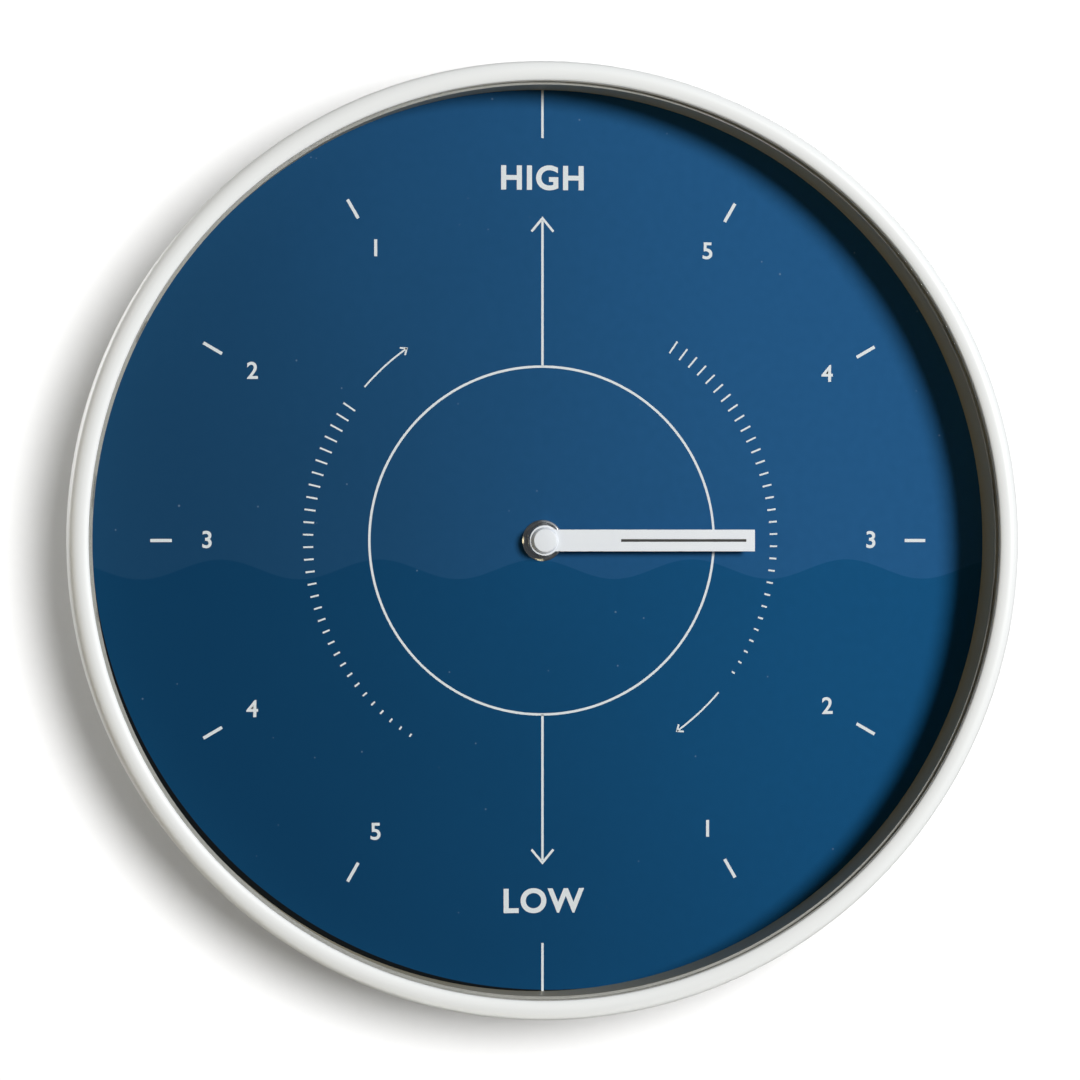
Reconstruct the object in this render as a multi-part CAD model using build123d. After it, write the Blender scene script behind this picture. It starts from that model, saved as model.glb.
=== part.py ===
from build123d import *
import math
import os

# A wall-hung tide clock. Its one hand goes round once in 12 h 25 min 12 s, from high water to low and back.
# A white moulded ring holds a glass in front and, from behind, a printed dial and a screwed-in pan.
# A battery movement hangs on the pan by one nut round its threaded bush, and a steel keyhole plate takes
# the screw in the wall.
# Everything is drawn lying face up on a bench: z = 0 is the wall, +z comes towards the viewer and +y is the
# top of the dial. The last step stands it upright, with the dial facing -Y and the wall at y = 0.
# Lengths are millimetres and angles degrees.

# Clearances
OVERRUN = 1.0
FIT_GAP = 0.3
RUNNING_CLEARANCE = 0.05
PRESS_CLEARANCE = 0.02
THREAD_CLEARANCE = 0.05

# Case ring
CASE_DIAMETER = 300.0
CASE_DRAFT = 1.2
CASE_WALL = 2.0
INNER_WALL = 1.6
RIM_WIDTH = 6.2
RIM_OUTER_ROUND = 4.0
RIM_INNER_ROUND = 1.0
RECESS_DEPTH = 20.0
BOSS_COUNT = 8
BOSS_WIDTH = 8.0
BOSS_SCREW_INSET = 2.0

# Lens and its seal
LENS_SETBACK = 1.0
LENS_THICKNESS = 1.8
LENS_LEDGE = 1.2
SEAL_THICKNESS = 0.4

# Dial and back pan
DIAL_THICKNESS = 0.5
DIAL_TUCK = 0.6
PAN_FLOOR = 2.5
RIB_COUNT = 12
RIB_THICKNESS = 1.6
RIB_HEIGHT = 4.5
RIB_RING_GAP = 6.0
FRAME_HEIGHT = 5.0

# Keyhole hanger
HANGER_DROP = 37.6
HANGER_WIDTH = 44.0
HANGER_HEIGHT = 22.0
HANGER_CORNER = 3.0
HANGER_THICKNESS = 1.5
HANGER_SETBACK = 3.0
HANGER_POST_RADIUS = 3.6
HANGER_POST_SPREAD = 33.0
KEYHOLE_ENTRY_RADIUS = 4.5
KEYHOLE_SLOT_WIDTH = 4.6
KEYHOLE_TRAVEL = 9.0

# Self-tapping screws: head radius, head height, shank radius, shank length
PAN_SCREW_HEAD_RADIUS = 2.3
PAN_SCREW_HEAD_HEIGHT = 1.6
PAN_SCREW_RADIUS = 1.05
PAN_SCREW_LENGTH = 10.0
HANGER_SCREW_HEAD_RADIUS = 2.6
HANGER_SCREW_HEAD_HEIGHT = 1.4
HANGER_SCREW_RADIUS = 1.2
HANGER_SCREW_LENGTH = 9.0
LID_SCREW_HEAD_RADIUS = 1.7
LID_SCREW_HEAD_HEIGHT = 1.0
LID_SCREW_RADIUS = 0.8
LID_SCREW_LENGTH = 7.0
BRIDGE_SCREW_HEAD_RADIUS = 1.2
BRIDGE_SCREW_HEAD_HEIGHT = 0.4
BRIDGE_SCREW_RADIUS = 0.6
BRIDGE_SCREW_LENGTH = 4.0
CROSS_LENGTH_SHARE = 1.2
CROSS_WIDTH_SHARE = 0.28
CROSS_DEPTH_SHARE = 0.55

# Nut, washers and threaded bush
BUSH_RADIUS = 3.95
BUSH_FLANGE_RADIUS = 6.5
BUSH_FLANGE_THICKNESS = 1.0
BUSH_STAND = 0.3
RUBBER_RADIUS = 9.0
RUBBER_THICKNESS = 1.0
WASHER_RADIUS = 6.5
WASHER_THICKNESS = 0.6
NUT_ACROSS_FLATS = 10.0
NUT_HEIGHT = 2.5
NUT_CHAMFER = 0.6

# Hand and its hub
HAND_LENGTH = 67.4
HAND_WIDTH = 6.9
HAND_EYE_RADIUS = 4.8
HAND_THICKNESS = 0.6
HAND_GAP = 0.4
HAND_BUSH_RADIUS = 2.9
HAND_BUSH_FLANGE_RADIUS = 3.5
HAND_BUSH_FLANGE_THICKNESS = 0.8
CAP_RADIUS = 4.2
CAP_THICKNESS = 1.4
CAP_ROUND = 0.35
CAP_SPIGOT_LENGTH = 2.4

# Movement case
MOVEMENT_WALL = 1.5
MOVEMENT_FLOOR = 1.6
MOVEMENT_CORNER = 3.0
LID_THICKNESS = 1.5
BAY_WALL = 1.4
LID_BOSS_RADIUS = 2.2
TRAIN_MARGIN = 2.8

# Gear train: tooth counts, tooth size and tooth form
ROTOR_TEETH = 8
FIRST_TEETH = 36
PINION_TEETH = 8
WHEEL_TEETH = 48
MINUTE_PINION_TEETH = 12
TIDE_TEETH = 46
SETTING_TEETH = 16
MODULE = 0.30
PRESSURE_ANGLE = 26.0
WHEEL_ADDENDUM_SHARE = 0.70
PINION_ADDENDUM_SHARE = 0.90
TIP_CLEARANCE_SHARE = 0.25
TOOTH_THICKNESS_SHARE = 0.46

# Gear train: where each arbor lies, as an angle seen from the one before it
MINUTE_ANGLE = 180.0
SETTING_ANGLE = 120.0
THIRD_ANGLE = 40.0
SECOND_ANGLE = -15.0
FIRST_ANGLE = 105.0
ROTOR_ANGLE = 100.0

# Gear train: layers, arbors and bearings
WHEEL_THICKNESS = 0.9
PINION_LENGTH = 1.4
LAYER_COUNT = 5
FIRST_LAYER_DEPTH = 1.8
LAYER_PITCH = 1.8
LAST_LAYER_RISE = 1.5
ARBOR_RADIUS = 0.6
PIVOT_RADIUS = 0.35
PIVOT_DEPTH = 0.9
END_SHAKE = 0.2
BRIDGE_THICKNESS = 0.8
BRIDGE_GAP = 0.6
BRIDGE_EDGE = 2.2
BRIDGE_POST_RADIUS = 1.6
BRIDGE_POST_GAP = 0.7
BRIDGE_POST_ANGLES = (230.0, 69.0, -35.0)
TUBE_RADIUS = 2.2
CENTRE_FRONT_RADIUS = 0.95
CENTRE_FRONT_REACH = 3.0
CLUTCH_SEAT_RADIUS = 0.8
CLUTCH_RADIUS = 1.6
CLUTCH_SPRING_THICKNESS = 0.35
CLUTCH_COLLAR_THICKNESS = 0.3

# Setting knob
SETTING_RADIUS = 1.3
KNOB_RADIUS = 5.5
KNOB_SETBACK = 1.4
KNOB_THICKNESS = 3.1
KNOB_SKIN = 0.7
KNOB_FLUTES = 16
KNOB_FLUTE_RADIUS = 0.6

# Stepping motor
MAGNET_RADIUS = 2.2
MAGNET_LENGTH = 2.4
STATOR_BORE_GAP = 0.5
STATOR_EYE_RADIUS = 4.0
STATOR_SPAN = 42.0
STATOR_BAR = 3.6
STATOR_THICKNESS = 1.0
STATOR_RISE = 1.1
CORE_WIDTH = 2.4
CORE_THICKNESS = 1.0
COIL_GAP = 0.9
COIL_RADIUS = 2.9
BOBBIN_RADIUS = 1.9
BOBBIN_FLANGE_RADIUS = 3.2
BOBBIN_FLANGE_THICKNESS = 0.6
STAKE_POST_RADIUS = 1.6
STAKE_PIN_RADIUS = 0.7

# Circuit board
BOARD_HEIGHT = 17.0
BOARD_THICKNESS = 1.0
BOARD_DEPTH = 4.4
BOARD_GAP = 1.1
BOARD_STAKE_INSET = 2.2
CHIP_RADIUS = 2.4
CHIP_HEIGHT = 0.9
CHIP_ROUND = 0.5
CRYSTAL_RADIUS = 1.0
CRYSTAL_LENGTH = 6.0

# Battery and its contacts
BATTERY_RADIUS = 7.1
BATTERY_LENGTH = 49.3
BATTERY_ROUND = 0.6
NUB_RADIUS = 2.7
NUB_HEIGHT = 1.2
BATTERY_CLEARANCE = 0.2
SPRING_REACH = 2.0
SPRING_FOOT = 2.6
CONTACT_THICKNESS = 0.3
CONTACT_HEIGHT = 5.0
CONTACT_JOG = 1.5


def step_from(centre, distance, angle):
    """The point at a distance and angle from a centre."""
    x = centre[0] + distance * math.cos(math.radians(angle))
    y = centre[1] + distance * math.sin(math.radians(angle))
    return (x, y)


# Radii of the case, from the outside in
case_radius = CASE_DIAMETER / 2
opening_radius = case_radius - RIM_WIDTH
wall_radius = opening_radius - LENS_LEDGE
back_radius = case_radius - CASE_DRAFT
pan_radius = back_radius - CASE_WALL - FIT_GAP
dial_radius = wall_radius + DIAL_TUCK
boss_screw_radius = wall_radius + BOSS_SCREW_INSET
lens_radius = opening_radius - FIT_GAP

# Heights of the movement, from the wall forward: knob, lid, bridge, layers of the train, floor
knob_front_z = KNOB_SETBACK + KNOB_THICKNESS
movement_back_z = knob_front_z + FIT_GAP
lid_inner_z = movement_back_z + LID_THICKNESS
bridge_back_z = lid_inner_z + BRIDGE_GAP
bridge_front_z = bridge_back_z + BRIDGE_THICKNESS
arbor_back_z = bridge_front_z + END_SHAKE
last_layer_z = arbor_back_z + LAST_LAYER_RISE
base_inner_z = last_layer_z + (LAYER_COUNT - 1) * LAYER_PITCH + FIRST_LAYER_DEPTH
arbor_front_z = base_inner_z - END_SHAKE
pivot_front_z = base_inner_z + PIVOT_DEPTH
movement_front_z = base_inner_z + MOVEMENT_FLOOR

# Heights of the case, from the movement forward to the rim
pan_back_z = movement_front_z + RUBBER_THICKNESS
pan_front_z = pan_back_z + PAN_FLOOR
dial_face_z = pan_front_z + DIAL_THICKNESS
case_depth = dial_face_z + RECESS_DEPTH
lens_face_z = case_depth - LENS_SETBACK
lens_back_z = lens_face_z - LENS_THICKNESS
ledge_z = lens_back_z - SEAL_THICKNESS

# Heights of the hand stack, from the dial forward
washer_face_z = dial_face_z + WASHER_THICKNESS
nut_face_z = washer_face_z + NUT_HEIGHT
bush_end_z = nut_face_z + BUSH_STAND
hand_bush_back_z = bush_end_z + HAND_GAP
hand_back_z = hand_bush_back_z + HAND_BUSH_FLANGE_THICKNESS
hand_face_z = hand_back_z + HAND_THICKNESS

# The hand's two meshes lie on the same two axes, so the second tooth size follows from the first
minute_distance = MODULE * (TIDE_TEETH + MINUTE_PINION_TEETH) / 2
setting_module = 2 * minute_distance / (WHEEL_TEETH + PINION_TEETH)
setting_distance = setting_module * (WHEEL_TEETH + SETTING_TEETH) / 2
wheel_distance = MODULE * (WHEEL_TEETH + PINION_TEETH) / 2
rotor_distance = MODULE * (FIRST_TEETH + ROTOR_TEETH) / 2

centre = (0, 0)
minute_centre = step_from(centre, minute_distance, MINUTE_ANGLE)
setting_centre = step_from(minute_centre, setting_distance, SETTING_ANGLE)
third_centre = step_from(centre, wheel_distance, THIRD_ANGLE)
second_centre = step_from(third_centre, wheel_distance, SECOND_ANGLE)
first_centre = step_from(second_centre, wheel_distance, FIRST_ANGLE)
rotor_centre = step_from(first_centre, rotor_distance, ROTOR_ANGLE)

minute_tip_radius = setting_module * (WHEEL_TEETH / 2 + WHEEL_ADDENDUM_SHARE)
wheel_tip_radius = MODULE * (WHEEL_TEETH / 2 + WHEEL_ADDENDUM_SHARE)
bridge_posts = (
    step_from(minute_centre, minute_tip_radius + BRIDGE_POST_RADIUS + BRIDGE_POST_GAP, BRIDGE_POST_ANGLES[0]),
    step_from(minute_centre, minute_tip_radius + BRIDGE_POST_RADIUS + BRIDGE_POST_GAP, BRIDGE_POST_ANGLES[1]),
    step_from(second_centre, wheel_tip_radius + BRIDGE_POST_RADIUS + BRIDGE_POST_GAP, BRIDGE_POST_ANGLES[2]),
)
plate_pivots = (minute_centre, third_centre, second_centre, first_centre, rotor_centre)

# Motor places
stator_back_z = bridge_front_z + STATOR_RISE
stator_front_z = stator_back_z + STATOR_THICKNESS
core_front_z = stator_front_z + CORE_THICKNESS
coil_z = (stator_front_z + core_front_z) / 2
coil_y = rotor_centre[1] + STATOR_BAR / 2 + FIT_GAP + BOBBIN_FLANGE_RADIUS
coil_right_x = rotor_centre[0] - STATOR_EYE_RADIUS - COIL_GAP
coil_left_x = STATOR_BAR + COIL_GAP - STATOR_SPAN / 2
stake_x = (STATOR_SPAN - STATOR_BAR) / 2

# Movement case: across, the longer of battery and motor; from bottom to top, battery, train and coil
battery_room = BATTERY_LENGTH + NUB_HEIGHT + SPRING_REACH + CONTACT_THICKNESS + BATTERY_CLEARANCE
motor_room = STATOR_SPAN + 2 * (COIL_GAP + 2 * LID_BOSS_RADIUS)
inner_half = max(battery_room, motor_room) / 2
movement_half = inner_half + MOVEMENT_WALL
train_low_y = -minute_tip_radius - TRAIN_MARGIN
bay_high_y = train_low_y - BAY_WALL
battery_y = bay_high_y - BATTERY_CLEARANCE - BATTERY_RADIUS
bay_low_y = battery_y - BATTERY_RADIUS - BATTERY_CLEARANCE
movement_low_y = bay_low_y - MOVEMENT_WALL
train_high_y = coil_y + BOBBIN_FLANGE_RADIUS + FIT_GAP
movement_high_y = train_high_y + MOVEMENT_WALL
movement_y = (movement_low_y + movement_high_y) / 2
movement_height = movement_high_y - movement_low_y
battery_z = base_inner_z - BATTERY_CLEARANCE - BATTERY_RADIUS
nub_end_x = inner_half - CONTACT_THICKNESS - BATTERY_CLEARANCE
battery_right_x = nub_end_x - NUB_HEIGHT
battery_left_x = battery_right_x - BATTERY_LENGTH

# Lid bosses stand in the corners, the lower two clear of the contact strips
upper_boss_x = inner_half - LID_BOSS_RADIUS + FIT_GAP
upper_boss_y = train_high_y - LID_BOSS_RADIUS + FIT_GAP
lower_boss_x = inner_half - LID_BOSS_RADIUS - CONTACT_THICKNESS - 2 * FIT_GAP
lower_boss_y = train_low_y + LID_BOSS_RADIUS + CONTACT_THICKNESS + FIT_GAP
lid_bosses = (
    (-upper_boss_x, upper_boss_y),
    (upper_boss_x, upper_boss_y),
    (-lower_boss_x, lower_boss_y),
    (lower_boss_x, lower_boss_y),
)

# Circuit board, between the left wall and the minute wheel
board_left_x = FIT_GAP - inner_half
board_right_x = minute_centre[0] - minute_tip_radius - BOARD_GAP
board_x = (board_left_x + board_right_x) / 2
board_low_y = lower_boss_y + LID_BOSS_RADIUS + FIT_GAP
board_y = board_low_y + BOARD_HEIGHT / 2
board_front_z = base_inner_z - BOARD_DEPTH
board_back_z = board_front_z - BOARD_THICKNESS
board_stakes = (
    (board_x, board_low_y + BOARD_STAKE_INSET),
    (board_x, board_low_y + BOARD_HEIGHT - BOARD_STAKE_INSET),
)
contact_back_z = board_back_z - CONTACT_HEIGHT

# Keyhole hanger
hanger_front_z = HANGER_SETBACK + HANGER_THICKNESS
hanger_y = wall_radius - HANGER_DROP
hanger_posts = ((-HANGER_POST_SPREAD / 2, hanger_y), (HANGER_POST_SPREAD / 2, hanger_y))
keyhole_entry_y = hanger_y - KEYHOLE_TRAVEL / 2
keyhole_rest_y = hanger_y + KEYHOLE_TRAVEL / 2


def rod(radius, bottom, top, place=(0, 0)):
    """An upright cylinder between two heights."""
    return Pos(place[0], place[1], (bottom + top) / 2) * Cylinder(radius, top - bottom)


def tube(outer, inner, bottom, top, place=(0, 0)):
    """An upright tube between two heights."""
    return rod(outer, bottom, top, place) - rod(inner, bottom - OVERRUN, top + OVERRUN, place)


def block(left, right, low, high, bottom, top):
    """A box given by its six faces."""
    middle = Pos((left + right) / 2, (low + high) / 2, (bottom + top) / 2)
    return middle * Box(right - left, high - low, top - bottom)


def slab(face, bottom, top):
    """A flat outline thickened between two heights."""
    return Pos(0, 0, bottom) * extrude(face, top - bottom)


def turned(points, arc=360):
    """A closed outline of radius and height, turned about the dial's axis."""
    return revolve(Plane.XZ * make_face(Polyline(*points, close=True)), Axis.Z, arc)


def self_tapper(head_radius, head_height, shank_radius, shank_length):
    """A cross-head screw driven towards +z, with the underside of its head at z = 0."""
    screw = rod(head_radius, -head_height, 0) + rod(shank_radius, 0, shank_length)
    slot_length = head_radius * CROSS_LENGTH_SHARE
    slot_width = head_radius * CROSS_WIDTH_SHARE
    slot_depth = head_height * CROSS_DEPTH_SHARE
    cross = Box(slot_length, slot_width, 2 * slot_depth) + Box(slot_width, slot_length, 2 * slot_depth)
    return screw - Pos(0, 0, -head_height) * cross


def screws_at(places, seat_z, screw):
    """Copies of one screw at each place."""
    return Part() + [Pos(x, y, seat_z) * screw for x, y in places]


def involute(angle):
    return math.tan(angle) - angle


def gear_face(teeth, module, addendum_share, mate_addendum_share, turn):
    """A toothed outline with straight-sided stub involute teeth, one tooth centred on the angle turn."""
    pitch_radius = module * teeth / 2
    base_radius = pitch_radius * math.cos(math.radians(PRESSURE_ANGLE))
    tip_radius = pitch_radius + module * addendum_share
    root_radius = pitch_radius - module * (mate_addendum_share + TIP_CLEARANCE_SHARE)
    flank = [root_radius, pitch_radius, (pitch_radius + tip_radius) / 2, tip_radius]
    if base_radius > root_radius:
        flank.insert(1, base_radius)
    pitch_half_angle = math.pi * TOOTH_THICKNESS_SHARE / teeth
    at_pitch = involute(math.radians(PRESSURE_ANGLE))

    def half_angle(radius):
        slope = math.acos(min(1, base_radius / radius))
        return pitch_half_angle + at_pitch - involute(slope)

    points = []
    for tooth in range(teeth):
        middle = math.radians(turn) + 2 * math.pi * tooth / teeth
        for side, radii in ((-1, flank), (1, flank[::-1])):
            for radius in radii:
                angle = middle + side * half_angle(radius)
                points.append((radius * math.cos(angle), radius * math.sin(angle)))
    return make_face(Polyline(*points, close=True))


def wheel_face(teeth, module, turn=0):
    return gear_face(teeth, module, WHEEL_ADDENDUM_SHARE, PINION_ADDENDUM_SHARE, turn)


def pinion_face(teeth, module, turn):
    return gear_face(teeth, module, PINION_ADDENDUM_SHARE, WHEEL_ADDENDUM_SHARE, turn)


def meshing_turn(turn, teeth, toward, mate_teeth):
    """How far a mate is turned so that its gap meets the tooth nearest the line of centres."""
    ahead = (turn - toward) % (360 / teeth)
    return toward + 180 - ahead * teeth / mate_teeth + 180 / mate_teeth


def layer_z(layer):
    """The middle height of a layer of the train, counted back from the base's floor."""
    return base_inner_z - FIRST_LAYER_DEPTH - layer * LAYER_PITCH


def wheel_on(layer, teeth, module):
    """A wheel with one tooth pointing along +x, in its layer."""
    middle = layer_z(layer)
    return slab(wheel_face(teeth, module), middle - WHEEL_THICKNESS / 2, middle + WHEEL_THICKNESS / 2)


def pinion_on(layer, teeth, module, turn):
    """A pinion, longer than the wheel that it meets, in its layer."""
    middle = layer_z(layer)
    return slab(pinion_face(teeth, module, turn), middle - PINION_LENGTH / 2, middle + PINION_LENGTH / 2)


def arbor():
    """A plain arbor between the bridge and the base, with a pivot at each end."""
    body = rod(ARBOR_RADIUS, arbor_back_z, arbor_front_z)
    return body + rod(PIVOT_RADIUS, bridge_back_z, pivot_front_z)


def at(place, shape):
    return Pos(place[0], place[1], 0) * shape


def case_ring():
    """The moulded ring: rim, outer wall back to the wall, inner wall down to the dial, bosses between."""
    crown_back_z = ledge_z - CASE_WALL
    outline = Polyline(
        (back_radius, 0),
        (case_radius, dial_face_z),
        (case_radius, case_depth),
        (opening_radius, case_depth),
        (opening_radius, ledge_z),
        (wall_radius, ledge_z),
        (wall_radius, dial_face_z),
        (wall_radius + INNER_WALL, dial_face_z),
        (wall_radius + INNER_WALL, crown_back_z),
        (case_radius - CASE_WALL, crown_back_z),
        (case_radius - CASE_WALL, dial_face_z),
        (back_radius - CASE_WALL, 0),
        close=True,
    )
    section = make_face(outline)
    section = fillet(section.vertices().sort_by_distance((case_radius, case_depth))[0], RIM_OUTER_ROUND)
    section = fillet(section.vertices().sort_by_distance((opening_radius, case_depth))[0], RIM_INNER_ROUND)
    ring = revolve(Plane.XZ * section, Axis.Z)
    boss_arc = math.degrees(BOSS_WIDTH / boss_screw_radius)
    boss_inner = wall_radius + INNER_WALL / 2
    boss_outer = case_radius - CASE_WALL / 2
    boss_top = crown_back_z + CASE_WALL / 2
    boss = turned(
        (
            (boss_inner, dial_face_z),
            (boss_outer, dial_face_z),
            (boss_outer, boss_top),
            (boss_inner, boss_top),
        ),
        boss_arc,
    )
    for angle in boss_angles():
        ring += Rot(0, 0, angle - boss_arc / 2) * boss
    pilot_end_z = dial_face_z + PAN_SCREW_LENGTH
    for place in boss_places():
        pilot = rod(PAN_SCREW_RADIUS + THREAD_CLEARANCE, dial_face_z - OVERRUN, pilot_end_z, place)
        ring -= pilot
    return ring


def boss_angles():
    """Bosses spread evenly, none at the top."""
    return [360 * (number + 0.5) / BOSS_COUNT for number in range(BOSS_COUNT)]


def boss_places():
    return [step_from(centre, boss_screw_radius, angle) for angle in boss_angles()]


def lens():
    return rod(lens_radius, lens_back_z, lens_face_z)


def lens_seal():
    return tube(lens_radius, wall_radius, ledge_z, lens_back_z)


def dial():
    return tube(dial_radius, BUSH_RADIUS + FIT_GAP, pan_front_z, dial_face_z)


def movement_outline(grow=0):
    """The movement's rounded outline, or one that stands off it all round."""
    size_x = 2 * (movement_half + grow)
    size_y = movement_height + 2 * grow
    return Pos(0, movement_y) * RectangleRounded(size_x, size_y, MOVEMENT_CORNER + grow)


def pan_ribs():
    """Frame round the movement, two ring ribs and the spokes between them."""
    rib_back_z = pan_back_z - RIB_HEIGHT
    frame = movement_outline(FIT_GAP + RIB_THICKNESS) - movement_outline(FIT_GAP)
    ribs = slab(frame, pan_back_z - FRAME_HEIGHT, pan_back_z)
    frame_reach = movement_half + FIT_GAP + RIB_THICKNESS
    inner_ring = math.hypot(frame_reach, frame_reach) + RIB_RING_GAP
    outer_ring = boss_screw_radius - PAN_SCREW_HEAD_RADIUS - 2 * FIT_GAP
    ribs += tube(inner_ring, inner_ring - RIB_THICKNESS, rib_back_z, pan_back_z)
    ribs += tube(outer_ring, outer_ring - RIB_THICKNESS, rib_back_z, pan_back_z)
    spoke_start = inner_ring - RIB_THICKNESS / 2
    spoke_end = outer_ring - RIB_THICKNESS / 2
    half_rib = RIB_THICKNESS / 2
    spoke = block(spoke_start, spoke_end, -half_rib, half_rib, rib_back_z, pan_back_z)
    for number in range(RIB_COUNT):
        ribs += Rot(0, 0, 360 * (number + 0.5) / RIB_COUNT) * spoke
    return ribs


def back_pan():
    """The disc behind the dial: recessed for it in front, ribbed behind, with two posts for the hanger."""
    pan = rod(pan_radius, pan_back_z, dial_face_z)
    pan -= rod(dial_radius + FIT_GAP, pan_front_z, dial_face_z + OVERRUN)
    pan += pan_ribs()
    screw_hole = PAN_SCREW_RADIUS + THREAD_CLEARANCE
    for place in boss_places():
        pan -= rod(screw_hole, pan_back_z - OVERRUN, dial_face_z + OVERRUN, place)
    post_middle_z = (pan_back_z + pan_front_z) / 2
    pilot = HANGER_SCREW_RADIUS + THREAD_CLEARANCE
    for place in hanger_posts:
        pan += rod(HANGER_POST_RADIUS, hanger_front_z, post_middle_z, place)
    for place in hanger_posts:
        pan -= rod(pilot, hanger_front_z - OVERRUN, HANGER_SETBACK + HANGER_SCREW_LENGTH, place)
    return pan - rod(BUSH_RADIUS + FIT_GAP, pan_back_z - OVERRUN, dial_face_z + OVERRUN)


def pan_screws():
    screw = self_tapper(PAN_SCREW_HEAD_RADIUS, PAN_SCREW_HEAD_HEIGHT, PAN_SCREW_RADIUS, PAN_SCREW_LENGTH)
    return screws_at(boss_places(), pan_back_z, screw)


def hanger_plate():
    """A stamped plate: the screw's head enters the round hole, then rides up the slot."""
    outline = Pos(0, hanger_y) * RectangleRounded(HANGER_WIDTH, HANGER_HEIGHT, HANGER_CORNER)
    outline -= Pos(0, keyhole_entry_y) * Circle(KEYHOLE_ENTRY_RADIUS)
    outline -= Pos(0, hanger_y) * Rectangle(KEYHOLE_SLOT_WIDTH, KEYHOLE_TRAVEL)
    outline -= Pos(0, keyhole_rest_y) * Circle(KEYHOLE_SLOT_WIDTH / 2)
    for x, y in hanger_posts:
        outline -= Pos(x, y) * Circle(HANGER_SCREW_RADIUS + THREAD_CLEARANCE)
    return slab(outline, HANGER_SETBACK, hanger_front_z)


def hanger_screws():
    screw = self_tapper(
        HANGER_SCREW_HEAD_RADIUS,
        HANGER_SCREW_HEAD_HEIGHT,
        HANGER_SCREW_RADIUS,
        HANGER_SCREW_LENGTH,
    )
    return screws_at(hanger_posts, HANGER_SETBACK, screw)


def centre_bush():
    """The threaded bush: its flange sits under the base, and its bore carries the hand's tube."""
    flange_z = base_inner_z - BUSH_FLANGE_THICKNESS
    bore = TUBE_RADIUS + RUNNING_CLEARANCE
    bush = rod(BUSH_FLANGE_RADIUS, flange_z, base_inner_z) + rod(BUSH_RADIUS, flange_z, bush_end_z)
    return bush - rod(bore, flange_z - OVERRUN, bush_end_z + OVERRUN)


def rubber_washer():
    return tube(RUBBER_RADIUS, BUSH_RADIUS + FIT_GAP, movement_front_z, pan_back_z)


def nut_washer():
    return tube(WASHER_RADIUS, BUSH_RADIUS + THREAD_CLEARANCE, dial_face_z, washer_face_z)


def bush_nut():
    """A hexagon nut whose front corners are chamfered off by a cone."""
    corner_radius = NUT_ACROSS_FLATS / math.sqrt(3)
    nut = slab(RegularPolygon(corner_radius, 6, rotation=30), washer_face_z, nut_face_z)
    chamfer_limit = turned(
        (
            (0, washer_face_z),
            (corner_radius, washer_face_z),
            (corner_radius, nut_face_z - NUT_CHAMFER / 2),
            (corner_radius - NUT_CHAMFER, nut_face_z),
            (0, nut_face_z),
        )
    )
    bore = rod(BUSH_RADIUS + THREAD_CLEARANCE, washer_face_z - OVERRUN, nut_face_z + OVERRUN)
    return (nut & chamfer_limit) - bore


def hand():
    """A flat bar with a round eye, pointing at 3 o'clock."""
    outline = Circle(HAND_EYE_RADIUS) + Pos(HAND_LENGTH / 2, 0) * Rectangle(HAND_LENGTH, HAND_WIDTH)
    outline -= Circle(HAND_BUSH_RADIUS + PRESS_CLEARANCE)
    return slab(outline, hand_back_z, hand_face_z)


def hand_bush():
    """A collet riveted into the eye and pressed on the tube."""
    bush = rod(HAND_BUSH_FLANGE_RADIUS, hand_bush_back_z, hand_back_z)
    bush += rod(HAND_BUSH_RADIUS, hand_bush_back_z, hand_face_z)
    return bush - rod(TUBE_RADIUS + PRESS_CLEARANCE, hand_bush_back_z - OVERRUN, hand_face_z + OVERRUN)


def hub_cap():
    """A low round cap on a spigot in the tube's bore."""
    cap = rod(CAP_RADIUS, hand_face_z, hand_face_z + CAP_THICKNESS)
    cap = fillet(cap.edges().group_by(Axis.Z)[-1], CAP_ROUND)
    spigot = CENTRE_FRONT_RADIUS + RUNNING_CLEARANCE - PRESS_CLEARANCE
    return cap + rod(spigot, hand_face_z - CAP_SPIGOT_LENGTH, hand_face_z)


def tide_wheel():
    """The wheel on the hand's tube."""
    wheel = wheel_on(0, TIDE_TEETH, MODULE)
    back_z = layer_z(0) - WHEEL_THICKNESS / 2
    wheel += rod(TUBE_RADIUS, back_z, hand_face_z)
    return wheel - rod(CENTRE_FRONT_RADIUS + RUNNING_CLEARANCE, back_z - OVERRUN, hand_face_z + OVERRUN)


def minute_wheel():
    """Driven by the centre arbor's pinion, it drives the tide wheel and is turned by the setting pinion."""
    turn = meshing_turn(0, TIDE_TEETH, MINUTE_ANGLE, MINUTE_PINION_TEETH)
    wheel = wheel_on(1, WHEEL_TEETH, setting_module)
    wheel += pinion_on(0, MINUTE_PINION_TEETH, MODULE, turn)
    return at(minute_centre, wheel + arbor())


def centre_arbor():
    """Pinion for the minute wheel, seat and collar for the clutch, and a front end that steadies the tube."""
    turn = meshing_turn(0, WHEEL_TEETH, MINUTE_ANGLE - 180, PINION_TEETH)
    pinion = pinion_on(1, PINION_TEETH, setting_module, turn)
    collar_front_z = layer_z(2) - WHEEL_THICKNESS / 2 - CLUTCH_SPRING_THICKNESS
    collar_back_z = collar_front_z - CLUTCH_COLLAR_THICKNESS
    shaft = rod(PIVOT_RADIUS, bridge_back_z, arbor_back_z)
    shaft += rod(ARBOR_RADIUS, arbor_back_z, collar_back_z)
    shaft += rod(CLUTCH_RADIUS, collar_back_z, collar_front_z)
    shaft += rod(CLUTCH_SEAT_RADIUS, collar_front_z, layer_z(1))
    shaft += rod(CENTRE_FRONT_RADIUS, layer_z(1), base_inner_z + CENTRE_FRONT_REACH)
    return shaft + pinion


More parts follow.
